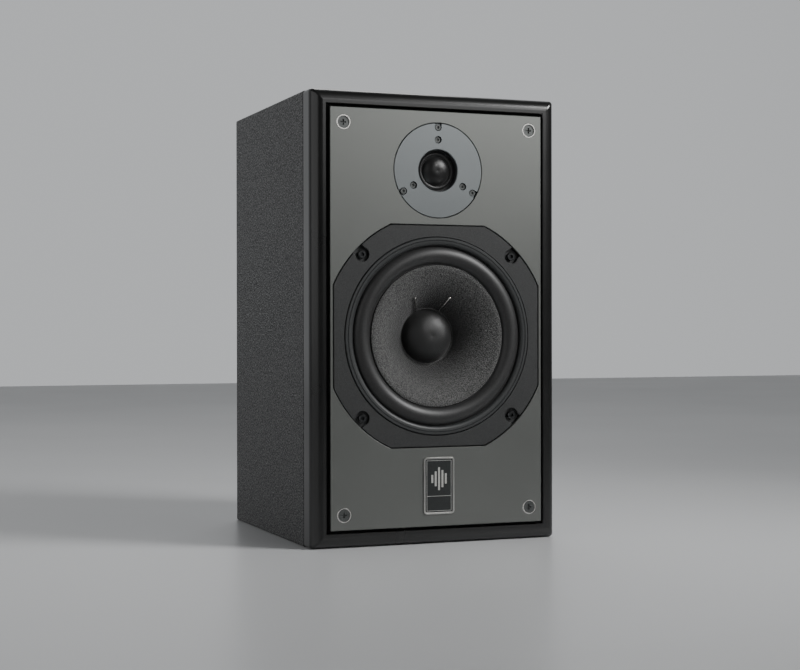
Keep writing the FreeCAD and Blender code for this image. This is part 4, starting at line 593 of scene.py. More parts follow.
def turned(name, profile, middle_z, look, segments=192, rough=None):
    """A turned piece: a closed (radius, forwards) profile in millimetres, about an axis that points forwards
    out of the front panel. rough(radius, turn) may move a point along the axis."""
    vertices, faces = [], []
    count = len(profile)
    for i in range(segments):
        turn = 2 * math.pi * i / segments
        for radius, forwards in profile:
            more = rough(radius, turn) if rough else 0.0
            x, z = radius * MM * math.cos(turn), radius * MM * math.sin(turn)
            vertices.append((x, FRONT - (forwards + more) * MM, middle_z + z))
    for i in range(segments):
        here, after = i * count, (i + 1) % segments * count
        for j in range(count):
            k = (j + 1) % count
            corners = (here + j, here + k, after + k, after + j)
            faces.append(corners)
    piece = new_piece(name, vertices, faces, look)
    return piece


def ripple(radius, turn, seed=0.0):
    """Slow unevenness of a hand-brushed surface, in millimetres."""
    return 0.05 * math.sin(7 * turn + radius * 0.31 + seed) + 0.03 * math.sin(19 * turn - radius * 0.57)


def box_piece(name, low, high, look, bevel=0.0):
    """A box with eased edges, from its lowest to its highest corner in metres."""
    corners = [(x, y, z) for x in (low[0], high[0]) for y in (low[1], high[1]) for z in (low[2], high[2])]
    faces = [(0, 1, 3, 2), (4, 6, 7, 5), (0, 4, 5, 1), (2, 3, 7, 6), (0, 2, 6, 4), (1, 5, 7, 3)]
    piece = new_piece(name, corners, faces, look, smooth=False)
    if bevel:
        work = bmesh.new()
        work.from_mesh(piece.data)
        bmesh.ops.bevel(work, geom=work.edges[:], offset=bevel, segments=3, affect="EDGES", profile=0.5)
        work.to_mesh(piece.data)
        work.free()
    return piece


def tube(name, points, radius, look, segments=10):
    """A round wire through points in metres, as one closed mesh."""
    curve = bpy.data.curves.new(name, "CURVE")
    curve.dimensions = "3D"
    curve.bevel_depth = radius
    curve.bevel_resolution = max(1, segments // 4)
    curve.use_fill_caps = True
    spline = curve.splines.new("NURBS")
    spline.points.add(len(points) - 1)
    for spot, point in zip(spline.points, points):
        spot.co = (*point, 1)
    spline.order_u = 3
    spline.use_endpoint_u = True
    holder = bpy.data.objects.new(name, curve)
    bpy.context.scene.collection.objects.link(holder)
    bpy.context.view_layer.update()
    graph = bpy.context.evaluated_depsgraph_get()
    mesh = bpy.data.meshes.new_from_object(holder.evaluated_get(graph))
    bpy.data.objects.remove(holder)
    vertices = [tuple(v.co) for v in mesh.vertices]
    faces = [tuple(p.vertices) for p in mesh.polygons]
    return new_piece(name, vertices, faces, look)


def joined(name, pieces):
    """Several pieces as one mesh."""
    work = bmesh.new()
    looks = []
    for piece in pieces:
        for material in piece.data.materials:
            if material not in looks:
                looks.append(material)
        start = len(work.faces)
        work.from_mesh(piece.data)
        work.faces.ensure_lookup_table()
        for face in work.faces[start:]:
            face.material_index = looks.index(piece.data.materials[face.material_index])
    mesh = bpy.data.meshes.new(name)
    work.to_mesh(mesh)
    work.free()
    for material in looks:
        mesh.materials.append(material)
    for piece in pieces:
        bpy.data.objects.remove(piece)
    whole = bpy.data.objects.new(name, mesh)
    bpy.context.scene.collection.objects.link(whole)
    return whole


def solid_boxes(node):
    """Lowest and highest corner of each separate solid in a CAD node, lowest solid first."""
    work = bmesh.new()
    work.from_mesh(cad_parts[node].data)
    bmesh.ops.remove_doubles(work, verts=work.verts, dist=1e-6)
    left, boxes = set(work.verts), []
    while left:
        queue, found = [left.pop()], []
        while queue:
            vertex = queue.pop()
            found.append(tuple(vertex.co))
            for edge in vertex.link_edges:
                other = edge.other_vert(vertex)
                if other in left:
                    left.remove(other)
                    queue.append(other)
        spots = np.array(found)
        boxes.append((spots.min(0), spots.max(0)))
    work.free()
    return sorted(boxes, key=lambda pair: (round(pair[0][2], 4), round(pair[0][0], 4)))


def settle(piece, body, slot, *nodes):
    """The piece rides on a body and stands for these CAD nodes, which are hidden. The slot is not used."""
    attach(piece, body)
    if nodes:
        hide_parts(*nodes)
    return piece


def flex(piece, body, middle_z, inner, outer, slot, *nodes):
    """Bakes the piece's place into its mesh and hides these CAD nodes. How much it would follow the moving
    body inside one radius and the cabinet outside the other is worked out but not used.
    Both radii are in millimetres."""
    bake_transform(piece)
    spots = np.array([v.co for v in piece.data.vertices])
    radius = np.hypot(spots[:, 0], spots[:, 2] - middle_z) / MM
    share = np.clip((outer - radius) / (outer - inner), 0, 1)
    share = share * share * (3 - 2 * share)
    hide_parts(*nodes)
    return piece


# ---------------------------------------------------------------- geometry nodes


def tree_with(name, inputs):
    """A geometry tree with named inputs, and its input node's sockets."""
    tree = bpy.data.node_groups.new(name, "GeometryNodeTree")
    for label, kind in inputs:
        tree.interface.new_socket(label, in_out="INPUT", socket_type=kind)
    tree.interface.new_socket("Geometry", in_out="OUTPUT", socket_type="NodeSocketGeometry")
    return tree, add(tree, "NodeGroupInput").outputs


def end_tree(tree, instances, look):
    """Ends a geometry tree in real geometry with one finish."""
    real = add(tree, "GeometryNodeRealizeInstances", {0: instances})
    smooth = add(tree, "GeometryNodeSetShadeSmooth", {0: real.outputs[0]})
    painted = add(tree, "GeometryNodeSetMaterial", {0: smooth.outputs[0], "Material": finish(look)})
    add(tree, "NodeGroupOutput", {0: painted.outputs[0]})
    return tree


def winding_tree(look):
    """Wire wound in layers about Z: one ring of wire on each point.
    Each layer's ring is larger than the last."""
    inputs = [
        ("Radius", "NodeSocketFloat"),
        ("Wire radius", "NodeSocketFloat"),
        ("Turns", "NodeSocketInt"),
        ("Layers", "NodeSocketInt"),
        ("Pitch", "NodeSocketFloat"),
        ("Layer step", "NodeSocketFloat"),
    ]
    tree, given = tree_with(f"winding of {look}", inputs)
    ring = add(tree, "GeometryNodeCurvePrimitiveCircle", {"Resolution": 56, "Radius": given["Radius"]})
    wire = add(tree, "GeometryNodeCurvePrimitiveCircle", {"Resolution": 6, "Radius": given["Wire radius"]})
    turn = add(tree, "GeometryNodeCurveToMesh", {0: ring.outputs[0], 1: wire.outputs[0]})
    count = add(tree, "ShaderNodeMath", {0: given["Turns"], 1: given["Layers"]}, operation="MULTIPLY")
    line = add(tree, "GeometryNodeMeshLine", {"Count": count.outputs[0], "Offset": (0, 0, 0)})
    index = add(tree, "GeometryNodeInputIndex")
    share = add(tree, "ShaderNodeMath", {0: index.outputs[0], 1: given["Turns"]}, operation="DIVIDE")
    layer = add(tree, "ShaderNodeMath", {0: share.outputs[0]}, operation="FLOOR")
    left = add(tree, "ShaderNodeMath", {0: index.outputs[0], 1: given["Turns"]}, operation="MODULO")
    height = add(tree, "ShaderNodeMath", {0: left.outputs[0], 1: given["Pitch"]}, operation="MULTIPLY")
    spot = add(tree, "ShaderNodeCombineXYZ", {"Z": height.outputs[0]})
    places = add(tree, "GeometryNodeSetPosition", {"Geometry": line.outputs[0], "Position": spot.outputs[0]})
    more = add(tree, "ShaderNodeMath", {0: layer.outputs[0], 1: given["Layer step"]}, operation="MULTIPLY")
    part = add(tree, "ShaderNodeMath", {0: more.outputs[0], 1: given["Radius"]}, operation="DIVIDE")
    grow = add(tree, "ShaderNodeMath", {0: part.outputs[0], 1: 1.0}, operation="ADD")
    scale = add(tree, "ShaderNodeCombineXYZ", {"X": grow.outputs[0], "Y": grow.outputs[0], "Z": 1.0})
    wound = add(
        tree,
        "GeometryNodeInstanceOnPoints",
        {"Points": places.outputs[0], "Instance": turn.outputs[0], "Scale": scale.outputs[0]},
    )
    return end_tree(tree, wound.outputs[0], look)


def solder_tree(look):
    """A grid of small domed joints, as solder stands round component leads."""
    inputs = [
        ("Columns", "NodeSocketInt"),
        ("Rows", "NodeSocketInt"),
        ("Width", "NodeSocketFloat"),
        ("Height", "NodeSocketFloat"),
        ("Joint radius", "NodeSocketFloat"),
    ]
    tree, given = tree_with("solder joints", inputs)
    grid = add(
        tree,
        "GeometryNodeMeshGrid",
        {
            "Size X": given["Width"],
            "Size Y": given["Height"],
            "Vertices X": given["Columns"],
            "Vertices Y": given["Rows"],
        },
    )
    drop = add(
        tree,
        "GeometryNodeMeshCone",
        {
            "Vertices": 12,
            "Radius Top": 0.0004,
            "Radius Bottom": given["Joint radius"],
            "Depth": given["Joint radius"],
        },
    )
    placed = add(
        tree,
        "GeometryNodeInstanceOnPoints",
        {"Points": grid.outputs[0], "Instance": drop.outputs[0]},
    )
    return end_tree(tree, placed.outputs[0], look)


def grown(name, tree, values, place):
    """Runs a geometry tree with these input values.
    Gives its result as a plain mesh piece at its place."""
    carrier = bpy.data.objects.new(name, bpy.data.meshes.new(name))
    bpy.context.scene.collection.objects.link(carrier)
    grower = carrier.modifiers.new("grower", "NODES")
    grower.node_group = tree
    for item in tree.interface.items_tree:
        if item.in_out == "INPUT" and item.name in values:
            grower[item.identifier] = values[item.name]
    bpy.context.view_layer.update()
    graph = bpy.context.evaluated_depsgraph_get()
    mesh = bpy.data.meshes.new_from_object(carrier.evaluated_get(graph))
    bpy.data.objects.remove(carrier)
    mesh.transform(place)
    mesh.name = name
    piece = bpy.data.objects.new(name, mesh)
    bpy.context.scene.collection.objects.link(piece)
    return piece


def forwards_at(x, forwards, z):
    """A place whose Z axis points out of the front, that far in front of the front panel, in metres."""
    return Matrix.Translation((x, FRONT - forwards, z)) @ Matrix.Rotation(math.radians(90), 4, "X")


# ---------------------------------------------------------------- pieces


def make_cabinet():
    """Case panels, frame and baffle board."""
    dress("textured paint", "side_panel_left", "side_panel_right", "top_panel", "bottom_panel", "rear_panel")
    dress("satin lacquer", "front_frame")
    # The baffle board is near black as painted shade in the gap between frame and front panel.
    dress("baffle painted shade", "baffle_board")


def make_front_panel():
    """Metal panel, its screws and their bright cups."""
    dress("graphite sheet", "front_panel")
    dress("bright nickel", "front_screw_cups")
    dress("grey steel", "front_panel_screws")


def make_badge(sizes):
    """Dark field with a plain silver line round it and a row of bars like a level meter."""
    dress("satin nickel", "badge_plate")
    low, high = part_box("badge_plate")
    middle = (low + high) / 2
    floor = FRONT - 0.5 * MM
    wide, tall = high.x - low.x - 3.4 * MM, high.z - low.z - 3.4 * MM
    field = box_piece(
        "badge_field",
        (middle.x - wide / 2, floor - 0.12 * MM, middle.z - tall / 2),
        (middle.x + wide / 2, floor, middle.z + tall / 2),
        "badge lacquer",
        0.05 * MM,
    )
    settle(field, CABINET, "black_nylon")
    bars = []
    top = floor - 0.12 * MM
    heights = (7, 13, 20, 15, 9)
    step = wide / MM / 8
    for i, height in enumerate(heights):
        x = middle.x + (i - 2) * step * MM
        bars.append(
            box_piece(
                f"bar_{i}",
                (x - 0.9 * MM, top - 0.06 * MM, middle.z + (6 - height / 2) * MM),
                (x + 0.9 * MM, top, middle.z + (6 + height / 2) * MM),
                "badge silver",
                0.02 * MM,
            )
        )
    line = 0.35 * MM
    inner_w, inner_t = wide / 2 - 1.1 * MM, tall / 2 - 1.1 * MM
    for i, (x0, z0, x1, z1) in enumerate(
        (
            (-inner_w, inner_t - line, inner_w, inner_t),
            (-inner_w, -inner_t, inner_w, -inner_t + line),
            (-inner_w, -inner_t, -inner_w + line, inner_t),
            (inner_w - line, -inner_t, inner_w, inner_t),
            (-inner_w, -inner_t * 0.42, inner_w, -inner_t * 0.42 + line),
        )
    ):
        bars.append(
            box_piece(
                f"line_{i}",
                (middle.x + x0, top - 0.06 * MM, middle.z + z0),
                (middle.x + x1, top, middle.z + z1),
                "badge silver",
            )
        )
    settle(joined("badge_print", bars), CABINET, "bright_metal")


def foam_pad(low, high, axis, inwards, peak, pitch):
    """Vertices and faces of a foam pad whose inner face is cut in egg-crate peaks."""
    low, high = np.array(low), np.array(high)
    across = [i for i in range(3) if i != axis]
    spans = [high[i] - low[i] for i in across]
    counts = [max(4, int(round(span / (pitch / 8)))) for span in spans]
    vertices, faces = [], []
    back = low[axis] if inwards > 0 else high[axis]
    thick = high[axis] - low[axis]
    for sheet in range(2):
        for i in range(counts[0] + 1):
            for j in range(counts[1] + 1):
                u, v = spans[0] * i / counts[0], spans[1] * j / counts[1]
                spot = [0.0, 0.0, 0.0]
                spot[across[0]], spot[across[1]] = low[across[0]] + u, low[across[1]] + v
                depth = 0.0
                if sheet:
                    wave = math.cos(2 * math.pi * u / pitch) * math.cos(2 * math.pi * v / pitch)
                    depth = thick - peak * (0.5 - 0.5 * wave)
                spot[axis] = back + inwards * depth
                vertices.append(spot)
    row, sheet_size = counts[1] + 1, (counts[0] + 1) * (counts[1] + 1)
    for i in range(counts[0]):
        for j in range(counts[1]):
            a = i * row + j
            faces.append((a, a + 1, a + row + 1, a + row))
            b = a + sheet_size
            faces.append((b, b + row, b + row + 1, b + 1))
    for i in range(counts[0]):
        for j in (0, counts[1]):
            a = i * row + j
            faces.append((a, a + row, a + row + sheet_size, a + sheet_size))
    for j in range(counts[1]):
        for i in (0, counts[0]):
            a = i * row + j
            faces.append((a, a + 1, a + 1 + sheet_size, a + sheet_size))
    return vertices, faces


def make_foam(sizes):
    """Egg-crate pads glued inside the case."""
    pads = []
    for i, (low, high) in enumerate(solid_boxes("acoustic_foam")):
        spans = high - low
        axis = int(np.argmin(spans))
        middle = (low + high) / 2
        inwards = -1 if (middle[0] > 0.05 or middle[2] > 0.3) else 1
        vertices, faces = foam_pad(low, high, axis, inwards, sizes.foam_peak, sizes.foam_pitch)
        pads.append(new_piece(f"pad_{i}", vertices, faces, "open foam"))
    pads = joined("acoustic_foam_pads", pads)
    settle(pads, CABINET, "foam_grey", "acoustic_foam")


def make_tweeter():
    """Face plate, screws, dome, ripple and motor."""
    dress("graphite plate", "tweeter_faceplate")
    dress("grey steel", "tweeter_motor_screws", "tweeter_fixing_screws")
    dress("zinc steel", "tweeter_front_plate", "tweeter_yoke")
    dress("ferrite", "tweeter_magnet")
    dress("closed foam", "tweeter_gasket")
    dress("black nylon", "tweeter_tags")
    dress("brown film", "tweeter_former")
    inner, rim = 12.62, 13.0
    shell = [(0.0, -0.8)] + bow((0.0, -0.8), (rim, -6.2), 2.05, 26)
    shell += [(inner, -6.2)] + bow((inner, -6.2), (0.0, -1.15), -1.93, 24)
    dome = turned("tweeter_dome_cloth", shell, TWEETER_Z, "dome silk", 128)
    settle(dome, DOME_BODY, "dome_silk", "tweeter_dome")
    upper = [(13.06, -6.2)] + bow((13.06, -6.2), (16.9, -6.2), 1.05, 14) + [(20.0, -6.2)]
    lower = [(20.0, -6.48), (16.6, -6.48)] + bow((16.6, -6.48), (13.36, -6.48), -1.03, 14) + [(13.06, -6.48)]
    edge = turned("tweeter_ripple", upper + lower, TWEETER_Z, "dome silk", 128)
    flex(edge, DOME_BODY, TWEETER_Z, 13.2, 16.8, "dome_silk", "tweeter_surround")
    spots = np.linspace(0, 2 * math.pi, 9)[:-1]
    ring = [(13.0 + 0.16 * math.cos(t), -6.12 + 0.12 * math.sin(t)) for t in spots]
    settle(turned("tweeter_glue_ring", ring, TWEETER_Z, "glue", 96), DOME_BODY, "dome_silk")


def make_woofer_frame():
    """Chassis, screws, gasket and trim ring."""
    dress("powder coat", "woofer_chassis")
    dress("black oxide", "woofer_screws")
    dress("ring rubber", "woofer_trim_ring")
    dress("closed foam", "woofer_gasket")
    dress("tinned copper", "woofer_tags")


def make_cone():
    """Cone, dust cap, glue lines and the coil's leads."""
    top = [(22.65, -30.1), (24.3, -28.2)] + bow((24.3, -28.2), (59.2, -2.0), 2.85, 40)
    top += [(60.6, -1.95), (61.9, -2.05), (62.2, -2.35)]
    under = [(62.2, -3.0), (59.5, -3.0)] + bow((59.5, -3.0), (25.0, -28.9), -2.8, 30)
    under += [(23.45, -32.1), (22.65, -31.5)]
    cone = turned("woofer_cone_shell", top + under, WOOFER_Z, "doped fibre and neck shade", 256, ripple)
    settle(cone, CONE_BODY, "cone_fibre", "woofer_cone")
    shell = [(0.0, -14.15)] + bow((0.0, -14.15), (24.1, -28.1), 5.05, 40)
    shell += [(24.7, -28.0), (24.7, -28.2), (23.5, -28.2)] + bow((23.5, -28.2), (0.0, -14.95), -4.8, 34)
    cap = turned("woofer_dust_cap_cloth", shell, WOOFER_Z, "cap cloth", 192)
    settle(cap, CONE_BODY, "cap_cloth", "woofer_dust_cap")
    lines = []
    for name, radius, forwards, size, look in (
        # The cap's glue ring is grey as a painted highlight round the dust cap.
        ("cap_glue_with_highlight", 24.8, -27.6, 0.38, "glue with painted highlight"),
        ("rim_glue", 62.55, -2.75, 0.32, "glue"),
    ):
        spots = np.linspace(0, 2 * math.pi, 11)[:-1]
        ring = [(radius + size * math.cos(t), forwards + size * math.sin(t)) for t in spots]
        lines.append(turned(name, ring, WOOFER_Z, look, 192))
    settle(joined("cone_glue_lines", lines), CONE_BODY, "cone_fibre")
    dress("bright nickel", "coil_leads")


def make_surround():
    """Rubber half roll between cone and chassis."""
    lip, seat = 78.2, -4.0
    upper = [(60.9, -3.1), (63.4, -3.1)] + bow((63.4, -3.1), (78.8, -3.4), 4.85, 36) + [(86.6, -3.4)]
    lower = [(86.6, seat), (lip, seat)] + bow((lip, seat), (64.2, seat), -4.95, 30)
    lower += [(63.3, -3.66), (60.9, -3.66)]
    roll = turned("woofer_surround_rubber", upper + lower, WOOFER_Z, "surround rubber", 256)
    # The blend's outer radius is where the lip starts, meant to keep the lip flat on its seat; flex works the
    # blend out but does not apply it.
    flex(roll, CONE_BODY, WOOFER_Z, 64.0, lip, "trim_rubber", "woofer_surround")


def make_spider():
    """Corrugated cloth behind the cone, and a copy of the coil's flexible leads."""
    hub, first, last, rim = 22.66, 25.5, 52.3, 57.4
    upper, lower = [], []
    steps = 144
    for i in range(steps + 1):
        radius = first + (last - first) * i / steps
        lift = 0.85 * math.sin(2 * math.pi * 6 * i / steps)
        upper.append((radius, -39.55 + lift))
        lower.append((radius, -39.95 + lift))
    profile = [(hub, -39.55)] + upper + [(rim, -39.55), (rim, -39.95)] + lower[::-1] + [(hub, -39.95)]
    spider = turned("woofer_spider_cloth", profile, WOOFER_Z, "spider cloth", 160)
    flex(spider, CONE_BODY, WOOFER_Z, 26.0, 52.0, "spider_cloth", "woofer_spider")
    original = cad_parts["woofer_tinsel_leads"].data
    leads = new_piece(
        "woofer_tinsel_braids",
        [tuple(v.co) for v in original.vertices],
        [tuple(p.vertices) for p in original.polygons],
        "tinned copper",
    )
    flex(leads, CONE_BODY, WOOFER_Z, 40.0, 58.0, "tinned", "woofer_tinsel_leads")


def make_motor(sizes):
    """Woofer magnet, plates and both wound voice coils."""
    dress("zinc steel", "woofer_front_plate", "woofer_yoke")
    dress("ferrite", "woofer_magnet")
    dress("brown film", "woofer_coil_former")
    tree = winding_tree("copper wire")
    for name, node, body, z, radius, wire in (
        ("woofer_coil_winding", "woofer_coil", CONE_BODY, WOOFER_Z, 22.6, sizes.woofer_wire),
        ("tweeter_coil_winding", "tweeter_coil", DOME_BODY, TWEETER_Z, 12.8, sizes.tweeter_wire),
    ):
        low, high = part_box(node)
        turns = int((high.y - low.y) / wire)
        values = {
            "Radius": radius * MM + wire / 2,
            "Wire radius": wire / 2 * 0.98,
            "Turns": turns,
            "Layers": 2,
            "Pitch": wire,
            "Layer step": wire * 0.95,
        }
        place = forwards_at(0, FRONT - high.y + wire / 2, z)
        settle(grown(name, tree, values, place), body, "copper", node)


def make_terminals():
    """Terminal plate, its screws, both binding posts, and a plus and a minus pressed into the plate."""
    dress("black anodised", "terminal_plate")
    dress("black oxide", "terminal_plate_screws")
    dress("black nylon", "post_insulators")
    dress("gilt thread", "post_stems")
    dress("gilt", "post_nuts", "post_solder_tags", "post_washer_red", "post_washer_black")
    dress("knob red", "post_knob_red")
    dress("knob black", "post_knob_black")
    marks = []
    for knob, crossed in (("post_knob_red", True), ("post_knob_black", False)):
        low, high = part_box(knob)
        x, z = (low.x + high.x) / 2, high.z + 8 * MM
        bars = [(3.0, 0.5)] + ([(0.5, 3.0)] if crossed else [])
        for half_x, half_z in bars:
            marks.append(
                box_piece(
                    f"mark_{len(marks)}",
                    (x - half_x * MM, REAR - 0.02 * MM, z - half_z * MM),
                    (x + half_x * MM, REAR + 0.12 * MM, z + half_z * MM),
                    "badge silver",
                    0.04 * MM,
                )
            )
    settle(joined("polarity_marks", marks), CABINET, "plate_alloy")


def make_crossover(sizes):
    """Board, wound inductors, capacitors, resistors, their leads and solder joints."""
    dress("solder mask", "crossover_board")
    dress("black nylon", "board_standoffs")
    dress("zinc steel", "board_screws")
    dress("capacitor film", "crossover_capacitors")
    dress("cement", "crossover_resistors")
    tree = winding_tree("copper wire")
    coils = []
    wire = sizes.inductor_wire
    for i, (low, high) in enumerate(solid_boxes("crossover_inductors")):
        middle = (low + high) / 2
        outer, inner = (high[0] - low[0]) / 2, 9 * MM
        layers, turns = int((outer - inner) / wire), int((high[1] - low[1]) / wire)
        values = {
            "Radius": inner + wire / 2,
            "Wire radius": wire / 2,
            "Turns": turns,
            "Layers": layers,
            "Pitch": wire,
            "Layer step": wire,
        }
        place = forwards_at(middle[0], FRONT - high[1] + wire / 2, middle[2])
        coils.append(grown(f"coil_{i}", tree, values, place))
    settle(joined("inductor_windings", coils), CABINET, "copper", "crossover_inductors")
    board_low, board_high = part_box("crossover_board")
    face = board_low.y
    leads = []
    for node in ("crossover_capacitors", "crossover_resistors"):
        for low, high in solid_boxes(node):
            level = (low[1] + high[1]) / 2
            z = (low[2] + high[2]) / 2
            for side, x in ((-1, low[0]), (1, high[0])):
                out = side * 2.4 * MM
                start = (x - out * 0.2, level, z)
                route = [start, (x + out, level, z), (x + out, level + 2 * MM, z), (x + out, face, z)]
                leads.append(tube(f"lead_{len(leads)}", route, 0.45 * MM, "tinned copper", 8))
    settle(joined("component_leads", leads), CABINET, "tinned")
    values = {"Columns": 7, "Rows": 6, "Width": 0.088, "Height": 0.1, "Joint radius": 0.0014}
    place = Matrix.Translation((0, board_high.y, (board_low.z + board_high.z) / 2)) @ Matrix.Rotation(
        math.radians(-90), 4, "X"
    )
    settle(grown("solder_joints", solder_tree("tinned copper"), values, place), CABINET, "tinned")


def make_wires():
    """Insulated wires inside the cabinet."""
    dress("red wire", "hookup_wires_red")
    dress("black wire", "hookup_wires_black")


def area_light(name, place, aim, size, power, spread=180):
    """A soft rectangular white light that faces a point. A grid on it narrows its spread, in degrees."""
    lamp = bpy.data.lights.new(name, "AREA")
    lamp.shape = "RECTANGLE"
    lamp.size, lamp.size_y = size
    lamp.energy = power
    lamp.spread = math.radians(spread)
    holder = bpy.data.objects.new(name, lamp)
    holder.location = place
    holder.rotation_euler = (Vector(aim) - Vector(place)).to_track_quat("-Z", "Y").to_euler()
    bpy.context.scene.collection.objects.link(holder)


def make_stage(look):
    """Pale floor, soft lights and the camera."""
    corners = [(-4, -4, 0), (4, -4, 0), (4, 4, 0), (-4, 4, 0)]
    mesh = bpy.data.meshes.new("floor")
    mesh.from_pydata(corners, [], [(0, 1, 2, 3)])
    floor = bpy.data.objects.new("floor", mesh)
    bpy.context.scene.collection.objects.link(floor)
    paint, tree, coords = start_material("studio floor")
    cloud = add(tree, "ShaderNodeTexNoise", {"Vector": coords, "Scale": 1 / 300, "Detail": 2.0})
    rough = add(tree, "ShaderNodeMapRange", {"Value": cloud.outputs[0], "To Min": 0.28, "To Max": 0.36})
    end_material(tree, {"Base Color": look.floor_colour, "Roughness": rough.outputs[0], "IOR": 1.45})
    mesh.materials.append(paint)
    world = bpy.data.worlds.new("studio")
    world.use_nodes = True
    sky = world.node_tree
    background = sky.nodes["Background"]
    background.inputs[0].default_value = linear("#d3d5d7")
    # The air behind the loudspeaker is a pale backdrop.
    # In front it is dim, so that the panel keeps its depth.
    facing = add(sky, "ShaderNodeTexCoord")
    parts = add(sky, "ShaderNodeSeparateXYZ", {0: facing.outputs["Generated"]})
    turn = {"Value": parts.outputs[1], "From Min": 0.25, "From Max": 0.9}
    turn.update({"To Min": look.air, "To Max": look.backdrop})
    level = add(sky, "ShaderNodeMapRange", turn, interpolation_type="SMOOTHSTEP")
    sky.links.new(level.outputs[0], background.inputs[1])
    bpy.context.scene.world = world
    area_light("key_softbox", (1.15, -1.02, 1.26), (0, -0.12, 0.22), (0.6, 0.6), 4.5 * look.light, 60)
    area_light("panel_softbox", (0.70, -1.62, 0.86), (0, -0.12, 0.3), (0.8, 0.6), 1.7 * look.light, 120)
    area_light("left_softbox", (-1.7, -0.6, 0.75), (-0.1, 0, 0.3), (2.6, 1.3), 9.5 * look.light)
    area_light("rear_softbox", (0.3, 1.5, 1.8), (0, 0.1, 0.3), (1.2, 0.8), 8 * look.light)
    camera = bpy.data.objects.new("camera", bpy.data.cameras.new("camera"))
    camera.data.lens = look.lens
    camera.data.sensor_width = 36.0
    camera.data.clip_start = 0.05
    turn = Matrix.Rotation(math.radians(-21.325), 4, "Z")
    tip = Matrix.Rotation(math.radians(90 - 0.216), 4, "X")
    roll = Matrix.Rotation(math.radians(-0.094), 4, "Z")
    camera.matrix_world = Matrix.Translation((-0.5387, FRONT - 1.2868, 0.1891)) @ turn @ tip @ roll
    bpy.context.scene.collection.objects.link(camera)
    bpy.context.scene.camera = camera


# ---------------------------------------------------------------- add-on


class SpeakerSizes(bpy.types.PropertyGroup):
    """Sizes of the detail that Blender adds."""

    foam_peak: bpy.props.FloatProperty(
        name="Foam peak", description="Depth of the foam's egg-crate cut", default=0.008, unit="LENGTH"
    )
    foam_pitch: bpy.props.FloatProperty(
        name="Foam pitch", description="Distance between the foam's peaks", default=0.024, unit="LENGTH"
    )
    woofer_wire: bpy.props.FloatProperty(
        name="Woofer wire", description="Thickness of the woofer's coil wire", default=0.0005, unit="LENGTH"
    )
    tweeter_wire: bpy.props.FloatProperty(
        name="Tweeter wire",
        description="Thickness of the tweeter's coil wire",
        default=0.00024,
        unit="LENGTH",
    )
    inductor_wire: bpy.props.FloatProperty(
        name="Inductor wire", description="Thickness of the inductors' wire", default=0.002, unit="LENGTH"
    )


class SpeakerStage(bpy.types.PropertyGroup):
    """Lights, floor and camera."""

    light: bpy.props.FloatProperty(name="Light", description="Strength of the softboxes", default=1.0, min=0)
    air: bpy.props.FloatProperty(
        name="Air", description="Strength of the light from all round", default=0.1, min=0
    )
    backdrop: bpy.props.FloatProperty(
        name="Backdrop", description="Brightness behind the speaker", default=0.8, min=0
    )
    lens: bpy.props.FloatProperty(
        name="Lens", description="Camera's focal length in millimetres", default=71.46
    )
    floor_colour: bpy.props.FloatVectorProperty(
        name="Floor", description="Floor's colour", subtype="COLOR", size=4, default=linear("#c4c5c6")
    )


class SPEAKER_OT_cabinet(bpy.types.Operator):
    """Finishes the case, the front frame and the baffle board"""

    bl_idname = "speaker.cabinet"
    bl_label = "Cabinet"

    def execute(self, context):
        make_cabinet()
        return {"FINISHED"}


class SPEAKER_OT_front_panel(bpy.types.Operator):
    """Finishes the metal panel, its screws and their cups"""

    bl_idname = "speaker.front_panel"
    bl_label = "Front panel"

    def execute(self, context):
        make_front_panel()
        return {"FINISHED"}


class SPEAKER_OT_badge(bpy.types.Operator):
    """Makes the badge's field and print"""

    bl_idname = "speaker.badge"
    bl_label = "Badge"

    def execute(self, context):
        make_badge(context.scene.speaker_sizes)
        return {"FINISHED"}


class SPEAKER_OT_foam(bpy.types.Operator):
    """Makes the egg-crate foam pads"""

    bl_idname = "speaker.foam"
    bl_label = "Acoustic foam"

    def execute(self, context):
        make_foam(context.scene.speaker_sizes)
        return {"FINISHED"}


class SPEAKER_OT_tweeter(bpy.types.Operator):
    """Makes the tweeter's dome and ripple and finishes its metal"""

    bl_idname = "speaker.tweeter"
    bl_label = "Tweeter"

    def execute(self, context):
        make_tweeter()
        return {"FINISHED"}


class SPEAKER_OT_woofer_frame(bpy.types.Operator):
    """Finishes the woofer's chassis, screws and trim ring"""

    bl_idname = "speaker.woofer_frame"
    bl_label = "Woofer frame"

    def execute(self, context):
        make_woofer_frame()
        return {"FINISHED"}


class SPEAKER_OT_cone(bpy.types.Operator):
    """Makes the woofer's cone, dust cap and glue lines"""

    bl_idname = "speaker.cone"
    bl_label = "Woofer cone"

    def execute(self, context):
        make_cone()
        return {"FINISHED"}


class SPEAKER_OT_surround(bpy.types.Operator):
    """Makes the woofer's rubber surround"""

    bl_idname = "speaker.surround"
    bl_label = "Woofer surround"

    def execute(self, context):
        make_surround()
        return {"FINISHED"}


class SPEAKER_OT_spider(bpy.types.Operator):
    """Makes the woofer's spider and flexible leads"""

    bl_idname = "speaker.spider"
    bl_label = "Woofer spider"

    def execute(self, context):
        make_spider()
        return {"FINISHED"}


class SPEAKER_OT_motor(bpy.types.Operator):
    """Makes the voice coils' windings and finishes the magnets"""

    bl_idname = "speaker.motor"
    bl_label = "Motors"

    def execute(self, context):
        make_motor(context.scene.speaker_sizes)
        return {"FINISHED"}


class SPEAKER_OT_terminals(bpy.types.Operator):
    """Finishes the terminal plate and the binding posts"""

    bl_idname = "speaker.terminals"
    bl_label = "Terminals"

    def execute(self, context):
        make_terminals()
        return {"FINISHED"}


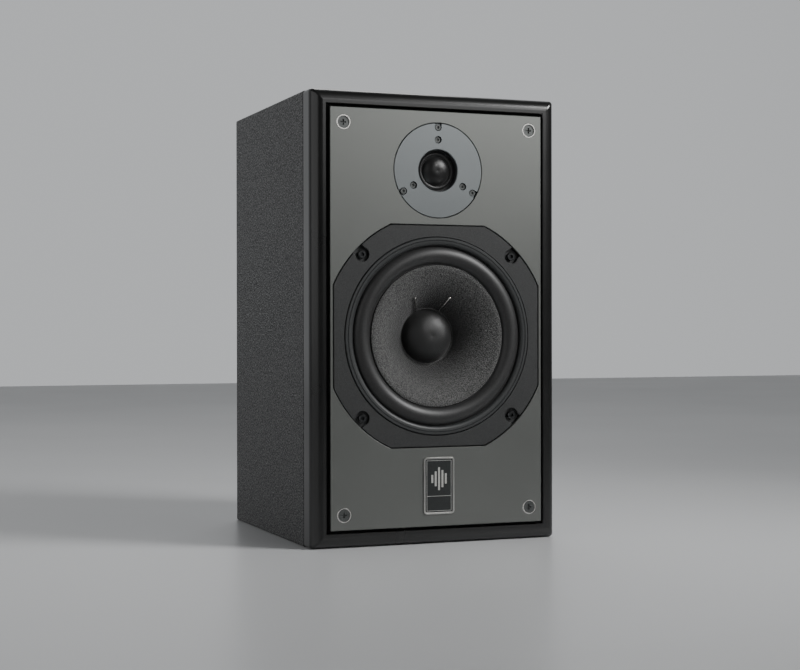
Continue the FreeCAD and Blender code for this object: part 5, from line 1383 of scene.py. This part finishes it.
class SPEAKER_OT_crossover(bpy.types.Operator):
    """Makes the crossover's windings, leads and solder joints"""

    bl_idname = "speaker.crossover"
    bl_label = "Crossover"

    def execute(self, context):
        make_crossover(context.scene.speaker_sizes)
        return {"FINISHED"}


class SPEAKER_OT_wires(bpy.types.Operator):
    """Finishes the wires inside the cabinet"""

    bl_idname = "speaker.wires"
    bl_label = "Wires"

    def execute(self, context):
        make_wires()
        return {"FINISHED"}


class SPEAKER_OT_stage(bpy.types.Operator):
    """Makes the floor, the lights and the camera"""

    bl_idname = "speaker.stage"
    bl_label = "Stage"

    def execute(self, context):
        make_stage(context.scene.speaker_stage)
        return {"FINISHED"}


STEPS = (
    SPEAKER_OT_stage,
    SPEAKER_OT_cabinet,
    SPEAKER_OT_front_panel,
    SPEAKER_OT_badge,
    SPEAKER_OT_foam,
    SPEAKER_OT_tweeter,
    SPEAKER_OT_woofer_frame,
    SPEAKER_OT_cone,
    SPEAKER_OT_surround,
    SPEAKER_OT_spider,
    SPEAKER_OT_motor,
    SPEAKER_OT_terminals,
    SPEAKER_OT_crossover,
    SPEAKER_OT_wires,
)


class SPEAKER_PT_pieces(bpy.types.Panel):
    """Lists the loudspeaker's pieces in the sidebar"""

    bl_label = "Loudspeaker"
    bl_idname = "SPEAKER_PT_pieces"
    bl_space_type = "VIEW_3D"
    bl_region_type = "UI"
    bl_category = "Loudspeaker"

    def draw(self, context):
        for group in (context.scene.speaker_sizes, context.scene.speaker_stage):
            for name in group.__annotations__:
                self.layout.prop(group, name)
        for step in STEPS:
            self.layout.operator(step.bl_idname)


CLASSES = (SpeakerSizes, SpeakerStage, *STEPS, SPEAKER_PT_pieces)


def register():
    """Adds the classes and the scene's settings."""
    for item in CLASSES:
        bpy.utils.register_class(item)
    bpy.types.Scene.speaker_sizes = bpy.props.PointerProperty(type=SpeakerSizes)
    bpy.types.Scene.speaker_stage = bpy.props.PointerProperty(type=SpeakerStage)


def unregister():
    """Takes the classes and the scene's settings away."""
    del bpy.types.Scene.speaker_stage
    del bpy.types.Scene.speaker_sizes
    for item in reversed(CLASSES):
        bpy.utils.unregister_class(item)


def main():
    """Makes every piece in order."""
    register()
    for step in STEPS:
        group, name = step.bl_idname.split(".")
        getattr(getattr(bpy.ops, group), name)()


if __name__ == "__main__":
    main()
